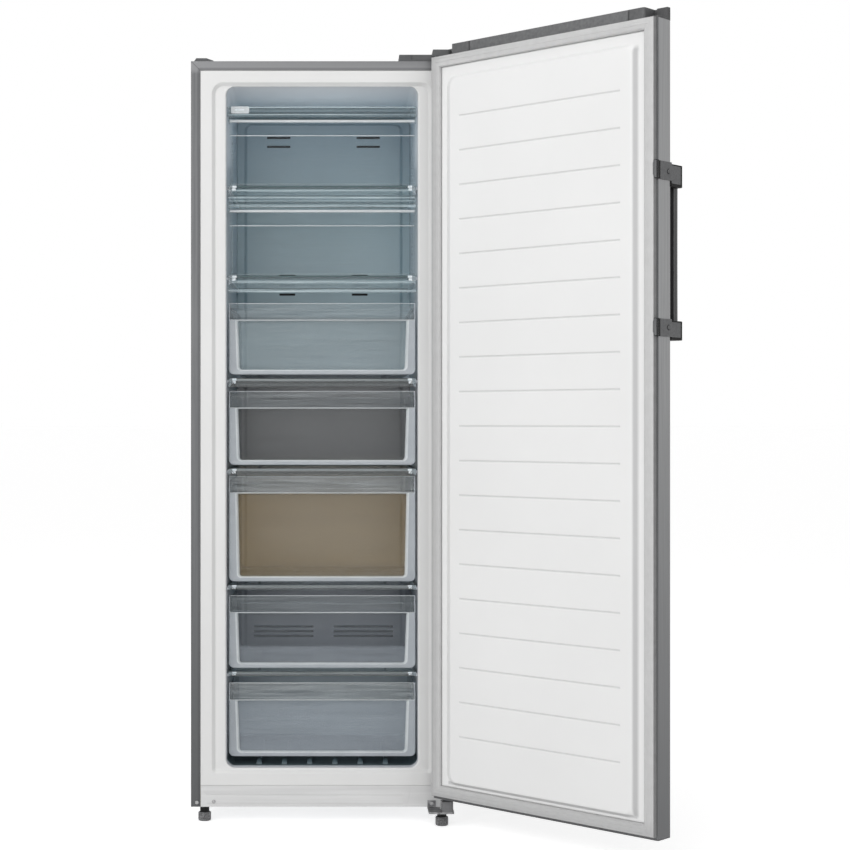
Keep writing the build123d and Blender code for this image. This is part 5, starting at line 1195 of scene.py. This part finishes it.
def makeBrackets():
    # each: plate on the door's side, hook round its inner edge, and a black arm faced in grey
    s = brackets
    side, edge = s["side"], s["edge"]
    parts = []
    for top, height, wrap, drop in zip(s["tops"], s["heights"], s["wraps"], s["screwDrops"]):
        low, foot = top - wrap, top - height
        parts.append(bar(s["plate"], (low, top), 1.0, "x", (side + 0.1, edge), round=0.6))
        # the second pass is the black rim, a painted shadow left of and below the hook
        for grow, front, finish in s["hooks"]:
            down, up = low + 1 - grow, top - 0.6 + grow
            hook = [(side + 0.1, down), (edge + grow, down), (-290.8 + grow, low + 8),
                    (-290.8 + grow, top - 7), (-293.6 + grow, up), (side + 0.1, up)]
            parts.append(carry(softOutline(hook, s["hookRadii"], 4), "y", (-14.6, front), finish, 0.8))
        parts.append(bar(s["bend"], (low + 0.4, top - 0.4), 0.2, "x", (side + 0.3, edge), 1, steps=2))
        arm = roundedFrame((side + 0.4, s["reach"]), s["arm"], [4.0, 4.0, 0.5, 0.5], 5)
        parts.append(carry(arm, "z", (foot, top - 3.0), finish=1, round=1.2))
        parts.append(bar(s["face"], (foot + 5.6, top - 6.0), 1.0, "x", (side, edge - 0.9), round=0.5))
        ring = circle((s["screwY"], top - drop), s["screwRadius"], 32)
        parts.append(carry(ring, "x", (side, side + 0.8), finish=1))
    return parts


makePiece("gripBrackets", makeBrackets(), [bracketGrey, matteBlack], "door", ["handle_brackets"],
          door=True)
print("door made")


# ---- small parts that keep the solid's own form: piece, finish, slot, width of the rounded edges

keptForms = {
    "door_cap_top": ("doorCapTop", topCapGrey, "cap_grey", 0.6),
    "door_cap_bottom": ("doorCapBottom", capGrey, "cap_grey", 0.6),
    "kick_plate": ("kickPlate", plateWhite, "liner_white", 0.3),
    "hinge_cover": ("hingeCover", plugGrey, "cap_grey", 0.5),
    "corner_plug": ("cornerPlug", plugGrey, "cap_grey", 0.8),
    "hinge_bracket_lower": ("hingePlateLower", hingeSteel, "zinc_steel", 0.4),
    "hinge_bracket_upper": ("hingePlateUpper", zincSteel, "zinc_steel", 0.4),
    "hinge_cam": ("hingeCam", glideGrey, "black_plastic", 0.6),
}
for node, settings in keptForms.items():
    dressCopy(node, *settings)

feet = {"grip": 14.5, "neck": 10.5, "stud": 4.0, "thread": 0.45, "studTop": 57.0, "teeth": 16, "scallop": 1.5,
        "places": {"foot_left": (-268.5, 31.0, 36.7), "foot_right": (270.6, -19.0, 32.7)}}


def makeFoot(x, y, top):
    # turned body whose grip is scalloped all round, with a threaded stud above
    def scallop(angle):
        return feet["scallop"] * np.clip(np.cos(angle * feet["teeth"]), 0, 1) ** 2

    r, n = feet["grip"], feet["neck"]
    body = [(r - 3.0, 0.0, 0), (r - 1.2, 0.5, 0), (r - 0.3, 1.8, 0), (r, 3.6, 0.2), (r, 5.2, 1), (r, 17.6, 1),
            (r - 0.5, 19.2, 0.8), (r - 1.6, 20.0, 0.3), (n + 0.8, 20.2, 0), (n, 21.2, 0), (n, top - 1.0, 0),
            (n - 0.8, top, 0)]
    parts = [finishByHeight(revolved((x, y), body, count=128, wave=scallop), [20.6], [0, 2])]
    turns = np.arange(top - 2, feet["studTop"], 1.0)
    thread = [(feet["stud"] - feet["thread"] * (k % 2), z, 0) for k, z in enumerate(turns)]
    parts.append(revolved((x, y), thread, count=20, finish=1))
    return parts


for node, (x, y, top) in feet["places"].items():
    side = node.split("_")[1]
    makePiece("foot" + side.title(), makeFoot(x, y, top), [footGrain, platedSteel, matteBlack],
              f"{side}_foot", [node])

# every CAD solid that stays gets a finish for its slot
slotFinishes = {"case_steel": caseSteel, "door_steel": doorSteel, "zinc_steel": zincSteel, "bright_steel": platedSteel,
                "foam": foamCream, "liner_white": plateWhite, "shelf_glass": glassClear, "shelf_trim": sillHighlight,
                "clear_plastic": tubClear, "seal_grey": sealGrey, "cap_grey": capGrey, "handle_grey": bracketGrey,
                "handle_black": gripBlack, "black_plastic": blackPlastic, "black_rubber": blackRubber,
                "compressor_black": enamelBlack, "coil_aluminium": finAluminium, "heater_steel": heaterSteel,
                "copper": drawnCopper}
ownFinishes = {"cabinet_screws": screwSteel, "handle_screws": bracketGrey}
for name, node in frame["nodes"].items():
    for holder in node.material_slots:
        slot = holder.material.name.split(".")[0] if holder.material else None
        if slot in slotFinishes:
            holder.material = ownFinishes.get(name, slotFinishes[slot])
        else:
            print("no finish for", name, slot)
print("finishes set on the remaining solids")


# ---- floor, light and camera

studio = {"floor": 400.0, "floorTone": 0.86, "floorLift": 0.62, "worldLight": 0.40, "lamps": {
    # place, aim, size, watts, and whether mirrors show it
    "keyLight": ((-3.0, -3.6, 3.2), (0.1, 0.1, 0.9), (2.0, 2.0), 72.0, True),
    "frontLight": ((-0.4, -4.8, 1.6), (0.1, 0.1, 0.9), (3.6, 3.4), 62.0, True),
    "fillLight": ((2.6, -3.4, 1.6), (0.1, 0.1, 0.8), (1.6, 2.4), 8.0, True),
    "innerLight": ((0, 0.13, 1.50), (0, 0.10, 1.673), (0.36, 0.16), 0.20, False),
    "topLight": ((0.2, -0.6, 3.6), (0.1, 0.1, 0.8), (2.4, 1.6), 14.0, True),
}}


def seenDirectly(tree):
    # 1 for rays that come straight from the picture, off a mirror or through clear plastic
    rays = addNode(tree, "ShaderNodeLightPath")
    straight = calculate(tree, "MAXIMUM", rays.outputs["Is Camera Ray"], rays.outputs["Is Glossy Ray"])
    return calculate(tree, "MAXIMUM", straight, rays.outputs["Is Transmission Ray"])


def makeFloor():
    mesh = bpy.data.meshes.new("floor")
    size, tone = studio["floor"], studio["floorTone"]
    corners = [(-size, -size, 0), (size, -size, 0), (size, size, 0), (-size, size, 0)]
    mesh.from_pydata(corners, [], [(0, 1, 2, 3)])
    floor = bpy.data.objects.new("floor", mesh)
    bpy.context.scene.collection.objects.link(floor)
    material = bpy.data.materials.new("floorWhite")
    material.use_nodes = True
    tree = material.node_tree
    lift = calculate(tree, "MULTIPLY", seenDirectly(tree), studio["floorLift"])
    values = {"Base Color": (tone, tone, tone), "Roughness": 0.9, "Specular IOR Level": 0.1,
              "Emission Color": (1, 1, 1), "Emission Strength": lift}
    for label, value in values.items():
        feed(tree, tree.nodes["Principled BSDF"].inputs[label], value)
    mesh.materials.append(material)


def makeWorld():
    world = bpy.data.worlds.new("studio")
    bpy.context.scene.world = world
    world.use_nodes = True
    tree = world.node_tree
    background = tree.nodes["Background"]
    feed(tree, background.inputs["Color"], (1, 1, 1))
    strength = ramp(tree, seenDirectly(tree), 0.0, 1.0, studio["worldLight"])
    tree.links.new(strength, background.inputs["Strength"])


def addLight(name, spot, target, size, power, seen):
    light = bpy.data.lights.new(name, "AREA")
    light.shape = "RECTANGLE"
    light.size, light.size_y = size
    light.energy = power
    lamp = bpy.data.objects.new(name, light)
    lamp.location = spot
    lamp.rotation_euler = (Vector(target) - Vector(spot)).to_track_quat("-Z", "Y").to_euler()
    lamp.visible_camera = lamp.visible_glossy = seen
    bpy.context.scene.collection.objects.link(lamp)


makeFloor()
makeWorld()
for name, settings in studio["lamps"].items():
    addLight(name, *settings)

view = {"spot": (0.034, -3.986, 0.910), "lens": 74.41, "sensor": 36.0, "shift": (0.1035, -0.0035)}
cameraData = bpy.data.cameras.new("camera")
cameraData.lens = view["lens"]
cameraData.sensor_width = view["sensor"]
cameraData.shift_x, cameraData.shift_y = view["shift"]
camera = bpy.data.objects.new("camera", cameraData)
camera.location = view["spot"]
camera.rotation_euler = (math.radians(90), 0, 0)
bpy.context.scene.collection.objects.link(camera)
bpy.context.scene.camera = camera
bpy.context.scene.view_settings.view_transform = "Standard"
print("studio made")
